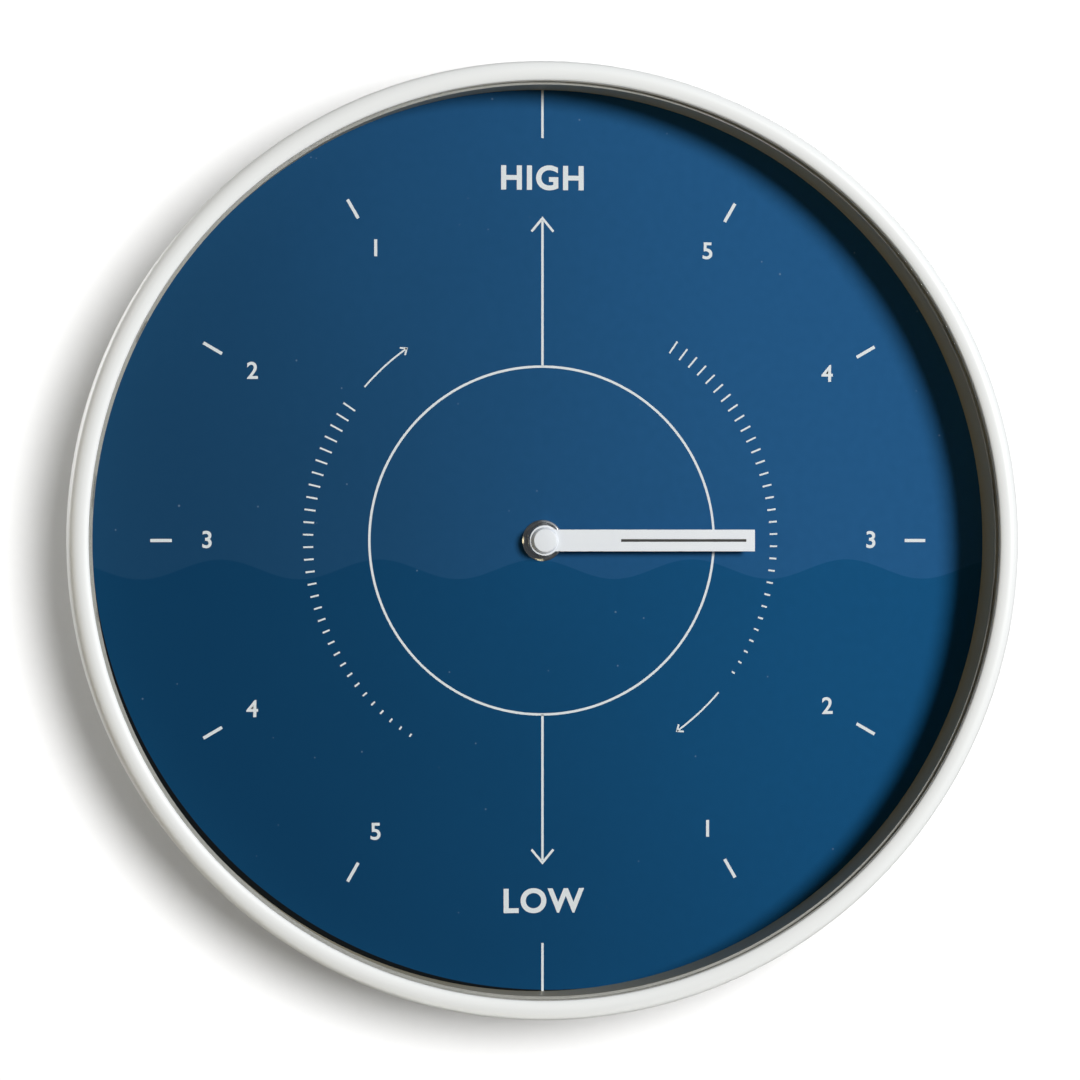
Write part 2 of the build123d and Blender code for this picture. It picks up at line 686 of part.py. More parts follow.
def clutch_spring():
    front_z = layer_z(2) - WHEEL_THICKNESS / 2
    bore = CLUTCH_SEAT_RADIUS + PRESS_CLEARANCE
    return tube(CLUTCH_RADIUS, bore, front_z - CLUTCH_SPRING_THICKNESS, front_z)


def centre_wheel():
    """Slips on the centre arbor when the hand is set."""
    bore = rod(CLUTCH_SEAT_RADIUS + RUNNING_CLEARANCE, layer_z(3), layer_z(1))
    return wheel_on(2, WHEEL_TEETH, MODULE) - bore


def third_wheel():
    turn = meshing_turn(0, WHEEL_TEETH, THIRD_ANGLE, PINION_TEETH)
    wheel = wheel_on(3, WHEEL_TEETH, MODULE) + pinion_on(2, PINION_TEETH, MODULE, turn)
    return at(third_centre, wheel + arbor())


def second_wheel():
    turn = meshing_turn(0, WHEEL_TEETH, SECOND_ANGLE, PINION_TEETH)
    wheel = wheel_on(4, WHEEL_TEETH, MODULE) + pinion_on(3, PINION_TEETH, MODULE, turn)
    return at(second_centre, wheel + arbor())


def first_wheel():
    turn = meshing_turn(0, WHEEL_TEETH, FIRST_ANGLE, PINION_TEETH)
    wheel = wheel_on(2, FIRST_TEETH, MODULE) + pinion_on(4, PINION_TEETH, MODULE, turn)
    return at(first_centre, wheel + arbor())


def rotor_pinion():
    turn = meshing_turn(0, FIRST_TEETH, ROTOR_ANGLE, ROTOR_TEETH)
    return at(rotor_centre, pinion_on(2, ROTOR_TEETH, MODULE, turn) + arbor())


def rotor_magnet():
    """A magnet ring on the rotor's arbor, level with the stator."""
    middle_z = (stator_back_z + stator_front_z) / 2
    bore = ARBOR_RADIUS + PRESS_CLEARANCE
    back_z = middle_z - MAGNET_LENGTH / 2
    return tube(MAGNET_RADIUS, bore, back_z, back_z + MAGNET_LENGTH, rotor_centre)


def setting_arbor():
    """The setting pinion and the stem that comes out through the lid."""
    turn = meshing_turn(0, WHEEL_TEETH, SETTING_ANGLE, SETTING_TEETH)
    stem_end_z = KNOB_SETBACK + KNOB_SKIN + FIT_GAP
    stem = rod(SETTING_RADIUS, stem_end_z, layer_z(1)) + rod(ARBOR_RADIUS, layer_z(1), arbor_front_z)
    stem += rod(PIVOT_RADIUS, arbor_front_z, pivot_front_z)
    return at(setting_centre, stem + pinion_on(1, SETTING_TEETH, setting_module, turn))


def setting_knob():
    """A fluted thumb wheel pressed on the stem behind the lid."""
    knob = rod(KNOB_RADIUS, KNOB_SETBACK, knob_front_z)
    flute = rod(KNOB_FLUTE_RADIUS, KNOB_SETBACK - OVERRUN, knob_front_z + OVERRUN)
    for number in range(KNOB_FLUTES):
        knob -= at(step_from(centre, KNOB_RADIUS, 360 * number / KNOB_FLUTES), flute)
    bore_end_z = KNOB_SETBACK + KNOB_SKIN
    knob -= rod(SETTING_RADIUS + PRESS_CLEARANCE, bore_end_z, knob_front_z + OVERRUN)
    return at(setting_centre, knob)


def train_bridge():
    """The rear bearing plate, drawn round its posts and pivots."""
    places = [*bridge_posts, *plate_pivots, setting_centre]
    rims = [Pos(x, y) * Circle(BRIDGE_EDGE) for x, y in places]
    outline = make_hull([edge for rim in rims for edge in rim.edges()])
    for x, y in (centre, *plate_pivots):
        outline -= Pos(x, y) * Circle(PIVOT_RADIUS + RUNNING_CLEARANCE)
    for x, y in bridge_posts:
        outline -= Pos(x, y) * Circle(BRIDGE_SCREW_RADIUS + THREAD_CLEARANCE)
    outline -= Pos(setting_centre[0], setting_centre[1]) * Circle(SETTING_RADIUS + RUNNING_CLEARANCE)
    return slab(outline, bridge_back_z, bridge_front_z)


def bridge_screws():
    screw = self_tapper(
        BRIDGE_SCREW_HEAD_RADIUS,
        BRIDGE_SCREW_HEAD_HEIGHT,
        BRIDGE_SCREW_RADIUS,
        BRIDGE_SCREW_LENGTH,
    )
    return screws_at(bridge_posts, bridge_back_z, screw)


def stator():
    """A flat yoke: a bar with the rotor's eye in it and an arm up each end to the coil's core."""
    half_span = STATOR_SPAN / 2
    rotor_x, rotor_y = rotor_centre
    top_y = coil_y + CORE_WIDTH / 2
    arm_height = top_y - rotor_y
    plate = Pos(0, rotor_y) * Rectangle(STATOR_SPAN, STATOR_BAR)
    for side in (-1, 1):
        arm_x = side * (half_span - STATOR_BAR / 2)
        plate += Pos(arm_x, rotor_y + arm_height / 2) * Rectangle(STATOR_BAR, arm_height)
        plate -= Pos(side * stake_x, coil_y) * Circle(STAKE_PIN_RADIUS + PRESS_CLEARANCE)
    plate += Pos(rotor_x, rotor_y) * Circle(STATOR_EYE_RADIUS)
    plate -= Pos(rotor_x, rotor_y) * Circle(MAGNET_RADIUS + STATOR_BORE_GAP)
    return slab(plate, stator_back_z, stator_front_z)


def coil_core():
    """The strip through the coil, staked on top of the yoke's two arms."""
    strip = Pos(0, coil_y) * Rectangle(STATOR_SPAN, CORE_WIDTH)
    for side in (-1, 1):
        strip -= Pos(side * stake_x, coil_y) * Circle(STAKE_PIN_RADIUS + PRESS_CLEARANCE)
    return slab(strip, stator_front_z, core_front_z)


def along_coil(radius, left, right):
    """A cylinder on the coil's axis between two x values."""
    return Pos((left + right) / 2, coil_y, coil_z) * Rot(0, 90, 0) * Cylinder(radius, right - left)


def coil_bobbin():
    bobbin = along_coil(BOBBIN_RADIUS, coil_left_x, coil_right_x)
    bobbin += along_coil(BOBBIN_FLANGE_RADIUS, coil_left_x, coil_left_x + BOBBIN_FLANGE_THICKNESS)
    bobbin += along_coil(BOBBIN_FLANGE_RADIUS, coil_right_x - BOBBIN_FLANGE_THICKNESS, coil_right_x)
    half_width = CORE_WIDTH / 2 + PRESS_CLEARANCE
    return bobbin - block(
        coil_left_x - OVERRUN,
        coil_right_x + OVERRUN,
        coil_y - half_width,
        coil_y + half_width,
        stator_front_z - PRESS_CLEARANCE,
        core_front_z + PRESS_CLEARANCE,
    )


def coil_winding():
    left = coil_left_x + BOBBIN_FLANGE_THICKNESS
    right = coil_right_x - BOBBIN_FLANGE_THICKNESS
    hollow = along_coil(BOBBIN_RADIUS + PRESS_CLEARANCE, left - OVERRUN, right + OVERRUN)
    return along_coil(COIL_RADIUS, left, right) - hollow


def circuit_board():
    outline = Pos(board_x, board_y) * Rectangle(board_right_x - board_left_x, BOARD_HEIGHT)
    for x, y in board_stakes:
        outline -= Pos(x, y) * Circle(STAKE_PIN_RADIUS + PRESS_CLEARANCE)
    return slab(outline, board_back_z, board_front_z)


def driver_chip():
    """The drop of black resin over the driver, on the board's back."""
    drop = rod(CHIP_RADIUS, board_back_z - CHIP_HEIGHT, board_back_z, (board_x, board_y))
    return fillet(drop.edges().group_by(Axis.Z)[0], CHIP_ROUND)


def quartz_crystal():
    """A small can lying on the board's back, above the driver."""
    lowest_stake_y = board_stakes[1][1] - STAKE_PIN_RADIUS
    crystal_y = lowest_stake_y - CRYSTAL_RADIUS - FIT_GAP
    place = Pos(board_x, crystal_y, board_back_z - CRYSTAL_RADIUS)
    return place * Rot(0, 90, 0) * Cylinder(CRYSTAL_RADIUS, CRYSTAL_LENGTH)


def negative_contact():
    """A strip bowed against the battery's flat end, with a tail to the board."""
    wall_x = -inner_half
    bow_x = battery_left_x - BATTERY_CLEARANCE - CONTACT_THICKNESS
    foot_low_y = bay_low_y + SPRING_FOOT
    foot_high_y = bay_high_y - SPRING_FOOT
    tail_y = board_low_y + CONTACT_JOG
    edge = [
        (wall_x, bay_low_y + FIT_GAP),
        (wall_x, foot_low_y),
        (bow_x, battery_y),
        (wall_x, foot_high_y),
        (wall_x, board_low_y - CONTACT_JOG),
        (wall_x + CONTACT_JOG, tail_y),
    ]
    far_edge = [(x + CONTACT_THICKNESS, y) for x, y in reversed(edge)]
    return slab(make_face(Polyline(*edge, *far_edge, close=True)), contact_back_z, board_back_z)


def positive_contact():
    """A strip behind the battery's nub that runs along the bay's wall to the board."""
    outer_x = inner_half
    inner_x = inner_half - CONTACT_THICKNESS
    low_y = train_low_y
    high_y = train_low_y + CONTACT_THICKNESS
    riser_x = board_right_x - CONTACT_JOG
    strip = block(inner_x, outer_x, bay_low_y + FIT_GAP, high_y, contact_back_z, board_back_z)
    strip += block(riser_x, outer_x, low_y, high_y, contact_back_z, board_back_z)
    riser_top_y = board_low_y + CONTACT_JOG
    riser_inner_x = riser_x + CONTACT_THICKNESS
    return strip + block(riser_x, riser_inner_x, low_y, riser_top_y, contact_back_z, board_back_z)


def battery_cell():
    """A round cell with its nub to the right."""
    body = Cylinder(BATTERY_RADIUS, BATTERY_LENGTH)
    body = fillet(body.edges().filter_by(GeomType.CIRCLE), BATTERY_ROUND)
    nub_z = (BATTERY_LENGTH + NUB_HEIGHT) / 2
    cell = body + Pos(0, 0, nub_z) * Cylinder(NUB_RADIUS, NUB_HEIGHT)
    middle_x = (battery_left_x + battery_right_x) / 2
    return Pos(middle_x, battery_y, battery_z) * Rot(0, 90, 0) * cell


def lid_area():
    """The part of the movement's outline that the lid covers."""
    height = movement_high_y - bay_high_y
    middle_y = (movement_high_y + bay_high_y) / 2
    return movement_outline() & (Pos(0, middle_y) * Rectangle(2 * movement_half, height))


def movement_lid():
    outline = lid_area()
    for x, y in lid_bosses:
        outline -= Pos(x, y) * Circle(LID_SCREW_RADIUS + THREAD_CLEARANCE)
    outline -= Pos(setting_centre[0], setting_centre[1]) * Circle(SETTING_RADIUS + FIT_GAP)
    return slab(outline, movement_back_z, lid_inner_z)


def lid_screws():
    screw = self_tapper(LID_SCREW_HEAD_RADIUS, LID_SCREW_HEAD_HEIGHT, LID_SCREW_RADIUS, LID_SCREW_LENGTH)
    return screws_at(lid_bosses, movement_back_z, screw)


def staked_post(place, seat_z, pin_end_z):
    """A post on the base's floor whose pin goes through what it carries."""
    post = rod(STAKE_POST_RADIUS, seat_z, base_inner_z, place)
    return post + rod(STAKE_PIN_RADIUS, pin_end_z, seat_z, place)


def base_posts():
    """Bosses for the lid, posts for the bridge, and staked posts for the motor and the board."""
    posts = []
    for place in lid_bosses:
        pilot_end_z = movement_back_z + LID_SCREW_LENGTH
        boss = rod(LID_BOSS_RADIUS, lid_inner_z, base_inner_z, place)
        pilot = LID_SCREW_RADIUS + THREAD_CLEARANCE
        posts.append(boss - rod(pilot, lid_inner_z - OVERRUN, pilot_end_z, place))
    for place in bridge_posts:
        pilot_end_z = bridge_back_z + BRIDGE_SCREW_LENGTH
        post = rod(BRIDGE_POST_RADIUS, bridge_front_z, base_inner_z, place)
        pilot = BRIDGE_SCREW_RADIUS + THREAD_CLEARANCE
        posts.append(post - rod(pilot, bridge_front_z - OVERRUN, pilot_end_z, place))
    for side in (-1, 1):
        posts.append(staked_post((side * stake_x, coil_y), core_front_z, stator_back_z))
    for place in board_stakes:
        posts.append(staked_post(place, board_front_z, board_back_z))
    return posts


def movement_base():
    """A tray with two rooms: one for the train, closed by the lid, and an open bay for the battery."""
    tray = slab(movement_outline(), movement_back_z, movement_front_z)
    tray -= slab(lid_area(), movement_back_z - OVERRUN, lid_inner_z)
    tray -= block(-inner_half, inner_half, train_low_y, train_high_y, lid_inner_z - OVERRUN, base_inner_z)
    tray -= block(-inner_half, inner_half, bay_low_y, bay_high_y, movement_back_z - OVERRUN, base_inner_z)
    slot_width = CONTACT_THICKNESS + FIT_GAP
    slot_end_z = board_back_z + FIT_GAP
    for left in (-inner_half, inner_half - slot_width):
        right = left + slot_width
        low_y = bay_high_y - OVERRUN
        high_y = train_low_y + OVERRUN
        tray -= block(left, right, low_y, high_y, lid_inner_z - OVERRUN, slot_end_z)
    for post in base_posts():
        tray += post
    for place in (*plate_pivots, setting_centre):
        hole_end_z = pivot_front_z + END_SHAKE
        tray -= rod(PIVOT_RADIUS + RUNNING_CLEARANCE, base_inner_z - OVERRUN, hole_end_z, place)
    return tray - rod(BUSH_RADIUS + THREAD_CLEARANCE, base_inner_z - OVERRUN, movement_front_z + OVERRUN)


PIECES = (
    case_ring,
    lens,
    lens_seal,
    dial,
    back_pan,
    pan_screws,
    hanger_plate,
    hanger_screws,
    hand,
    hand_bush,
    hub_cap,
    bush_nut,
    nut_washer,
    rubber_washer,
    movement_base,
    movement_lid,
    lid_screws,
    centre_bush,
    train_bridge,
    bridge_screws,
    rotor_magnet,
    rotor_pinion,
    first_wheel,
    second_wheel,
    third_wheel,
    centre_wheel,
    clutch_spring,
    centre_arbor,
    minute_wheel,
    tide_wheel,
    setting_arbor,
    setting_knob,
    stator,
    coil_core,
    coil_bobbin,
    coil_winding,
    circuit_board,
    driver_chip,
    quartz_crystal,
    positive_contact,
    negative_contact,
    battery_cell,
)

os.makedirs("parts", exist_ok=True)
upright = Rot(90, 0, 0)
for piece in PIECES:
    export_step(upright * piece(), f"parts/{piece.__name__}.step")
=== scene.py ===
import bmesh
import bpy
import math
from mathutils import Matrix, Vector


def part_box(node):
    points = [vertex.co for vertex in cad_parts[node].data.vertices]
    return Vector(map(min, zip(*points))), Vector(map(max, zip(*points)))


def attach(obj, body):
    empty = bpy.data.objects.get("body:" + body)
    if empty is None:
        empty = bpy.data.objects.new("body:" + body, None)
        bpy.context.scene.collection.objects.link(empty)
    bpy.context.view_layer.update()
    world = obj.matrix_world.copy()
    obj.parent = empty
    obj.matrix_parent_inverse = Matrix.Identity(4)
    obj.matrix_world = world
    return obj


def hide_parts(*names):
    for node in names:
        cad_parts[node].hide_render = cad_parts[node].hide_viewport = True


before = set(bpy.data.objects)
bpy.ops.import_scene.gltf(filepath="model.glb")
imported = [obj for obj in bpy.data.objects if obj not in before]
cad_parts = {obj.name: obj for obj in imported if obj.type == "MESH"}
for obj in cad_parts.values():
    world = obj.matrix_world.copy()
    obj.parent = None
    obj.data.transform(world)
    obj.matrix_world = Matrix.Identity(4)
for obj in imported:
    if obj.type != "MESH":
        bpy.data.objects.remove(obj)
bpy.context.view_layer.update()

# Case ring
# One white moulding in impact polystyrene: a crowned rim, an outer side that runs back to the wall with a
# little draft, and an inner wall that stops on the dial.
MM = 0.001


class Reading:
    """A value in a node tree; plain arithmetic on it adds Math nodes."""

    def __init__(self, recipe, socket):
        self.recipe = recipe
        self.socket = socket

    def maths(self, operation, first, second=0.0):
        return self.recipe.node("ShaderNodeMath", {"operation": operation}, {0: first, 1: second})

    def __add__(self, other):
        return self.maths("ADD", self, other)

    def __sub__(self, other):
        return self.maths("SUBTRACT", self, other)

    def __rsub__(self, other):
        return self.maths("SUBTRACT", other, self)

    def __mul__(self, other):
        return self.maths("MULTIPLY", self, other)

    def __truediv__(self, other):
        return self.maths("DIVIDE", self, other)

    def __pow__(self, other):
        return self.maths("POWER", self, other)

    def __neg__(self):
        return self.maths("SUBTRACT", 0.0, self)

    def __abs__(self):
        return self.maths("ABSOLUTE", self)

    __radd__ = __add__
    __rmul__ = __mul__


class Recipe:
    """A node tree that is built up one node at a time."""

    def __init__(self, tree):
        self.tree = tree

    def node(self, kind, settings, sockets, output=0):
        made = self.tree.nodes.new(kind)
        for name, value in settings.items():
            setattr(made, name, value)
        for name, value in sockets.items():
            if isinstance(value, Reading):
                self.tree.links.new(value.socket, made.inputs[name])
            else:
                made.inputs[name].default_value = value
        return Reading(self, made.outputs[output]) if made.outputs else None

    def axes(self, vector):
        split = self.node("ShaderNodeSeparateXYZ", {}, {0: vector}).socket.node
        return [Reading(self, output) for output in split.outputs]


class Finish(Recipe):
    """A material whose patterns lie on the piece's own place, in metres."""

    def __init__(self, name):
        self.material = bpy.data.materials.new(name)
        self.material.use_nodes = True
        super().__init__(self.material.node_tree)
        self.tree.nodes.clear()
        self.place = self.node("ShaderNodeTexCoord", {}, {}, "Object")

    def noise(self, feature, detail=2.0, place=None):
        """Cloudy values from 0 to 1 whose blotches are about as wide as the feature."""
        sockets = {"Vector": place or self.place, "Scale": 1 / feature, "Detail": detail}
        return self.node("ShaderNodeTexNoise", {}, sockets)

    def ramp(self, value, low, high):
        """A smooth step from 0 to 1 while the value goes from low to high."""
        sockets = {"Value": value, "From Min": low, "From Max": high}
        return self.node("ShaderNodeMapRange", {"interpolation_type": "SMOOTHSTEP"}, sockets)

    def blend(self, share, first, second):
        """The first colour, turning into the second as the share goes to 1."""
        return self.node("ShaderNodeMix", {"data_type": "RGBA"}, {0: share, 6: first, 7: second}, 2)

    def edges(self, radius):
        """Normals that look as if the edges were rounded."""
        return self.node("ShaderNodeBevel", {"samples": 6}, {"Radius": radius})

    def bumps(self, height, depth, under=None):
        """Normals of a surface with hills of this depth, on the normals under them."""
        sockets = {"Strength": 1.0, "Distance": depth, "Height": height}
        if under:
            sockets["Normal"] = under
        return self.node("ShaderNodeBump", {}, sockets)

    def surface(self, colour, roughness, normal=None, metal=0.0, gloss=0.5):
        """The whole shader: plain plastic unless metal or gloss says otherwise."""
        sockets = {"Base Color": colour, "Roughness": roughness}
        sockets.update({"Metallic": metal, "Specular IOR Level": gloss})
        if normal:
            sockets["Normal"] = normal
        shader = self.node("ShaderNodeBsdfPrincipled", {}, sockets)
        self.node("ShaderNodeOutputMaterial", {}, {"Surface": shader})


def paint(red, green, blue):
    """A colour in the usual 0 to 255 steps, as the light it gives."""
    steps = [step / 255 for step in (red, green, blue)]
    light = [step / 12.92 if step <= 0.04045 else ((step + 0.055) / 1.055) ** 2.4 for step in steps]
    return (*light, 1.0)


def with_rounds(steps, *corners):
    """A closed outline of (across, along, round) corners, with each round turned into an arc."""
    points = []
    for number, (across, along, radius) in enumerate(corners):
        corner = Vector((across, along))
        if not radius:
            points.append(corner)
            continue
        before = (Vector(corners[number - 1][:2]) - corner).normalized()
        after = (Vector(corners[(number + 1) % len(corners)][:2]) - corner).normalized()
        half = before.angle(after) / 2
        middle = corner + (before + after).normalized() * radius / math.sin(half)
        start = corner + before * radius / math.tan(half) - middle
        end = corner + after * radius / math.tan(half) - middle
        first = math.atan2(start.y, start.x)
        sweep = (math.atan2(end.y, end.x) - first + math.pi) % (2 * math.pi) - math.pi
        for step in range(steps + 1):
            turn = first + sweep * step / steps
            points.append(middle + Vector((math.cos(turn), math.sin(turn))) * radius)
    return points


def clean(shape, name):
    """A closed mesh from loose faces: doubles merged, faces outwards, flats evenly shaded."""
    bmesh.ops.remove_doubles(shape, verts=shape.verts, dist=1e-7)
    bmesh.ops.dissolve_degenerate(shape, edges=shape.edges, dist=1e-8)
    bmesh.ops.recalc_face_normals(shape, faces=shape.faces)
    mesh = bpy.data.meshes.new(name)
    shape.to_mesh(mesh)
    shape.free()
    return even(mesh)


def even(mesh):
    """Smooth shading up to a crease of 32 degrees, with each flat kept flat."""
    mesh.shade_smooth()
    mesh.set_sharp_from_angle(angle=math.radians(32))
    thing = bpy.data.objects.new(mesh.name, mesh)
    modifier = thing.modifiers.new("even_flats", "WEIGHTED_NORMAL")
    modifier.keep_sharp = True
    return settle(thing)


def settle(thing):
    """The plain mesh that a thing's modifiers or curves make."""
    bpy.context.scene.collection.objects.link(thing)
    evaluated = thing.evaluated_get(bpy.context.evaluated_depsgraph_get())
    mesh = bpy.data.meshes.new_from_object(evaluated)
    mesh.name = thing.name
    bpy.data.objects.remove(thing)
    return mesh


def turned(name, outline, steps=360):
    """A mesh from a closed outline of (radius, height off the wall), turned about the dial's axis."""
    shape = bmesh.new()
    rings = []
    for step in range(steps):
        turn = 2 * math.pi * step / steps
        rings.append([shape.verts.new((r * math.cos(turn), -h, r * math.sin(turn))) for r, h in outline])
    count = len(outline)
    for step in range(steps):
        here, there = rings[step], rings[(step + 1) % steps]
        for number in range(count):
            after = (number + 1) % count
            if outline[number][0] or outline[after][0]:
                shape.faces.new((here[number], here[after], there[after], there[number]))
    return clean(shape, name)


def fit(mesh, finish, body, slot, *nodes):
    """Puts a mesh on the clock: its finish, the body it moves with and the nodes it stands for."""
    mesh.materials.clear()
    mesh.materials.append(finish.material)
    thing = bpy.data.objects.new(mesh.name, mesh)
    bpy.context.scene.collection.objects.link(thing)
    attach(thing, body)
    if nodes:
        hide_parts(*nodes)
    return thing


ring_low, ring_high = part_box("case_ring")
case_radius = ring_high.x
case_depth = -ring_low.y
dial_height = -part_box("dial")[0].y
lens_low, lens_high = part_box("lens")
seal_low, seal_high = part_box("lens_seal")
lens_gap = 0.3 * MM
opening_radius = lens_high.x + lens_gap
ledge_width = 1.2 * MM
wall_radius = opening_radius - ledge_width
ledge_height = -seal_high.y
case_wall = 2.0 * MM
inner_wall = 1.6 * MM
back_radius = case_radius - 1.2 * MM
crown_height = ledge_height - case_wall

case_white = Finish("case_white")
across, depth, up = case_white.axes(case_white.place)
cloud = case_white.noise(40 * MM, 4)
handled = case_white.ramp(depth, -8 * MM, 0.0) * case_white.noise(9 * MM, 6)
white = case_white.blend(cloud, paint(246, 249, 250), paint(249, 252, 253))
white = case_white.blend(handled * 0.4, white, paint(206, 202, 192))
reach = (across ** 2.0 + up ** 2.0) ** 0.5
# The inner wall is painted a darker warm grey than the rest of the white moulding: partly a duller tone of
# its own, partly painted shade of the recess.
inner_wall_shade = case_white.ramp(reach, wall_radius + 0.5 * MM, wall_radius + 0.2 * MM)
white = case_white.blend(inner_wall_shade, white, paint(192, 178, 148))
ripple = case_white.noise(2.5 * MM, 3)
grain = case_white.noise(0.35 * MM, 2)
case_white.surface(
    colour=white,
    roughness=0.36 + cloud * 0.1 + grain * 0.06,
    normal=case_white.bumps(ripple + grain * 0.25, 0.012 * MM),
)

outer_round = 3.0 * MM
crown_width = case_radius - outer_round - opening_radius
crown_drop = 1.0 * MM
crown = []
for step in range(13):
    turn = math.pi / 2 * step / 12
    crown_reach = opening_radius + crown_width * (1 - math.sin(turn))
    crown.append((crown_reach, case_depth - crown_drop * (1 - math.cos(turn)), 0.0))
rim_outline = with_rounds(
    8,
    (back_radius, 0.0, 0.5 * MM),
    (case_radius, dial_height, 0.0),
    (case_radius, case_depth, outer_round),
    *crown,
    (opening_radius, ledge_height, 0.1 * MM),
    (wall_radius, ledge_height, 0.25 * MM),
    (wall_radius, dial_height, 0.1 * MM),
    (wall_radius + inner_wall, dial_height, 0.1 * MM),
    (wall_radius + inner_wall, crown_height, 0.5 * MM),
    (case_radius - case_wall, crown_height, 0.5 * MM),
    (case_radius - case_wall, dial_height, 0.0),
    (back_radius - case_wall, 0.0, 0.5 * MM),
)
case_ring = turned("case_ring_moulding", rim_outline, 480)

# Seal
# A grey adhesive ring on the ledge. The glass is pressed on to it from the front, which squeezes a bead
# of it up into the gap round the glass.
seal_grey = Finish("seal_grey")
cells = seal_grey.noise(0.5 * MM, 3)
seal_grey.surface(
    colour=seal_grey.blend(cells, paint(158, 157, 152), paint(182, 181, 176)),
    roughness=0.75 + cells * 0.15,
    normal=seal_grey.bumps(cells, 0.03 * MM),
)
seal_round = 0.1 * MM
bead_gap = 0.03 * MM
bead_round = 0.08 * MM
bead_top = -lens_low.y - 0.2 * MM
bead_outside = opening_radius - bead_gap
bead_inside = lens_high.x + bead_gap
seal_outline = with_rounds(
    3,
    (wall_radius, -seal_high.y, seal_round),
    (bead_outside, -seal_high.y, seal_round),
    (bead_outside, bead_top, bead_round),
    (bead_inside, bead_top, bead_round),
    (bead_inside, -seal_low.y, 0.0),
    (wall_radius, -seal_low.y, seal_round),
)
fit(turned("lens_seal_ring", seal_outline), seal_grey, "case", "grey_seal", "lens_seal")

# Glass
# Flat float glass with a ground edge and a coating that keeps its reflections faint.
# Light is thrown back only where it goes in, so the pane stays clear at low angles too.
clear_glass = Finish("clear_glass")
coated = clear_glass.node("ShaderNodeFresnel", {}, {"IOR": 1.12})
going_out = clear_glass.node("ShaderNodeNewGeometry", {}, {}, "Backfacing")
smears = clear_glass.noise(60 * MM, 4)
shine = clear_glass.node("ShaderNodeBsdfGlossy", {}, {"Color": (1, 1, 1, 1), "Roughness": 0.02})
sight = clear_glass.node("ShaderNodeBsdfTransparent", {}, {"Color": (0.985, 0.992, 0.99, 1)})
share = coated * (0.8 + smears * 0.4) * (1 - going_out)
pane = clear_glass.node("ShaderNodeMixShader", {}, {0: share, 1: sight, 2: shine})
clear_glass.node("ShaderNodeOutputMaterial", {}, {"Surface": pane})
glass_edge = 0.3 * MM
glass_outline = with_rounds(
    3,
    (0.0, -lens_high.y, 0.0),
    (lens_high.x, -lens_high.y, glass_edge),
    (lens_high.x, -lens_low.y, glass_edge),
    (0.0, -lens_low.y, 0.0),
)
fit(turned("lens_glass", glass_outline), clear_glass, "case", "clear_glass", "lens")

# Dial
# A plastic sheet printed in two blues that meet in a plain row of waves, matt, with a trace of dust.
# It was trimmed a little off centre, and the sliver beyond the trim at its lower left edge is painted near
# black, a painted shade of a gap.
dial_low, dial_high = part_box("dial")
wave_length = 50.0 * MM
wave_rise = 3.1 * MM
wave_level = -9.1 * MM
wave_crest = -2.0 * MM
print_edge = 0.1 * MM
trim_radius = 145.9 * MM
trim_right = 3.7 * MM
trim_up = 3.7 * MM

dial_blue = Finish("dial_blue")
across, depth, up = dial_blue.axes(dial_blue.place)
wave = (across - wave_crest) * (2 * math.pi / wave_length)
shore = wave.maths("COSINE", wave) * wave_rise + wave_level
under_water = dial_blue.ramp(shore - up, -print_edge, print_edge)
mottle = dial_blue.noise(3 * MM, 5)
cloud = dial_blue.noise(70 * MM, 3)
# Both blues are painted lighter towards the upper right and darker towards the lower left, a painted
# gradient of the key lamp's light; the noise only bends its line.
painted_light_gradient = dial_blue.ramp(across + up * 0.3 + cloud * 40 * MM, -110 * MM, 150 * MM)
sky_blue = dial_blue.blend(painted_light_gradient, paint(23, 70, 108), paint(37, 96, 149))
sea_blue = dial_blue.blend(painted_light_gradient, paint(5, 63, 102), paint(17, 87, 137))
blue = dial_blue.blend(under_water, sky_blue, sea_blue)
blue = dial_blue.blend(mottle * 0.25, blue, paint(18, 62, 98))
crumb = dial_blue.node("ShaderNodeTexVoronoi", {}, {"Vector": dial_blue.place, "Scale": 1 / (9 * MM)})
crumb_size = dial_blue.noise(14 * MM, 1)
dust = dial_blue.ramp(crumb_size * 0.06 - crumb, -0.006, 0.012)
blue = dial_blue.blend(dust * 0.35, blue, paint(150, 175, 200))
# Beyond the off-centre trim the sheet is painted near black: painted shade of the gap at its edge.
reach = ((across - trim_right) ** 2.0 + (up - trim_up) ** 2.0) ** 0.5
trim_gap_shade = dial_blue.ramp(reach, trim_radius, trim_radius + print_edge)
dial_blue.surface(
    colour=dial_blue.blend(trim_gap_shade, blue, paint(12, 17, 20)),
    roughness=0.8 + mottle * 0.12,
    gloss=0.1,
    normal=dial_blue.bumps(dial_blue.noise(0.25 * MM, 3), 0.004 * MM),
)
hole_radius = 4.25 * MM
dial_outline = (
    (hole_radius, -dial_high.y),
    (dial_high.x, -dial_high.y),
    (dial_high.x, -dial_low.y),
    (hole_radius, -dial_low.y),
)
fit(turned("dial_sheet", dial_outline), dial_blue, "case", "dial_print", "dial")

# Marks on the dial
# White screen-printed ink, a few hundredths of a millimetre thick: ten hour strokes with plain numbers, a
# centre circle, arrows to high and low water, and two rows of strokes that shrink or grow towards them.
ink_height = 0.03 * MM


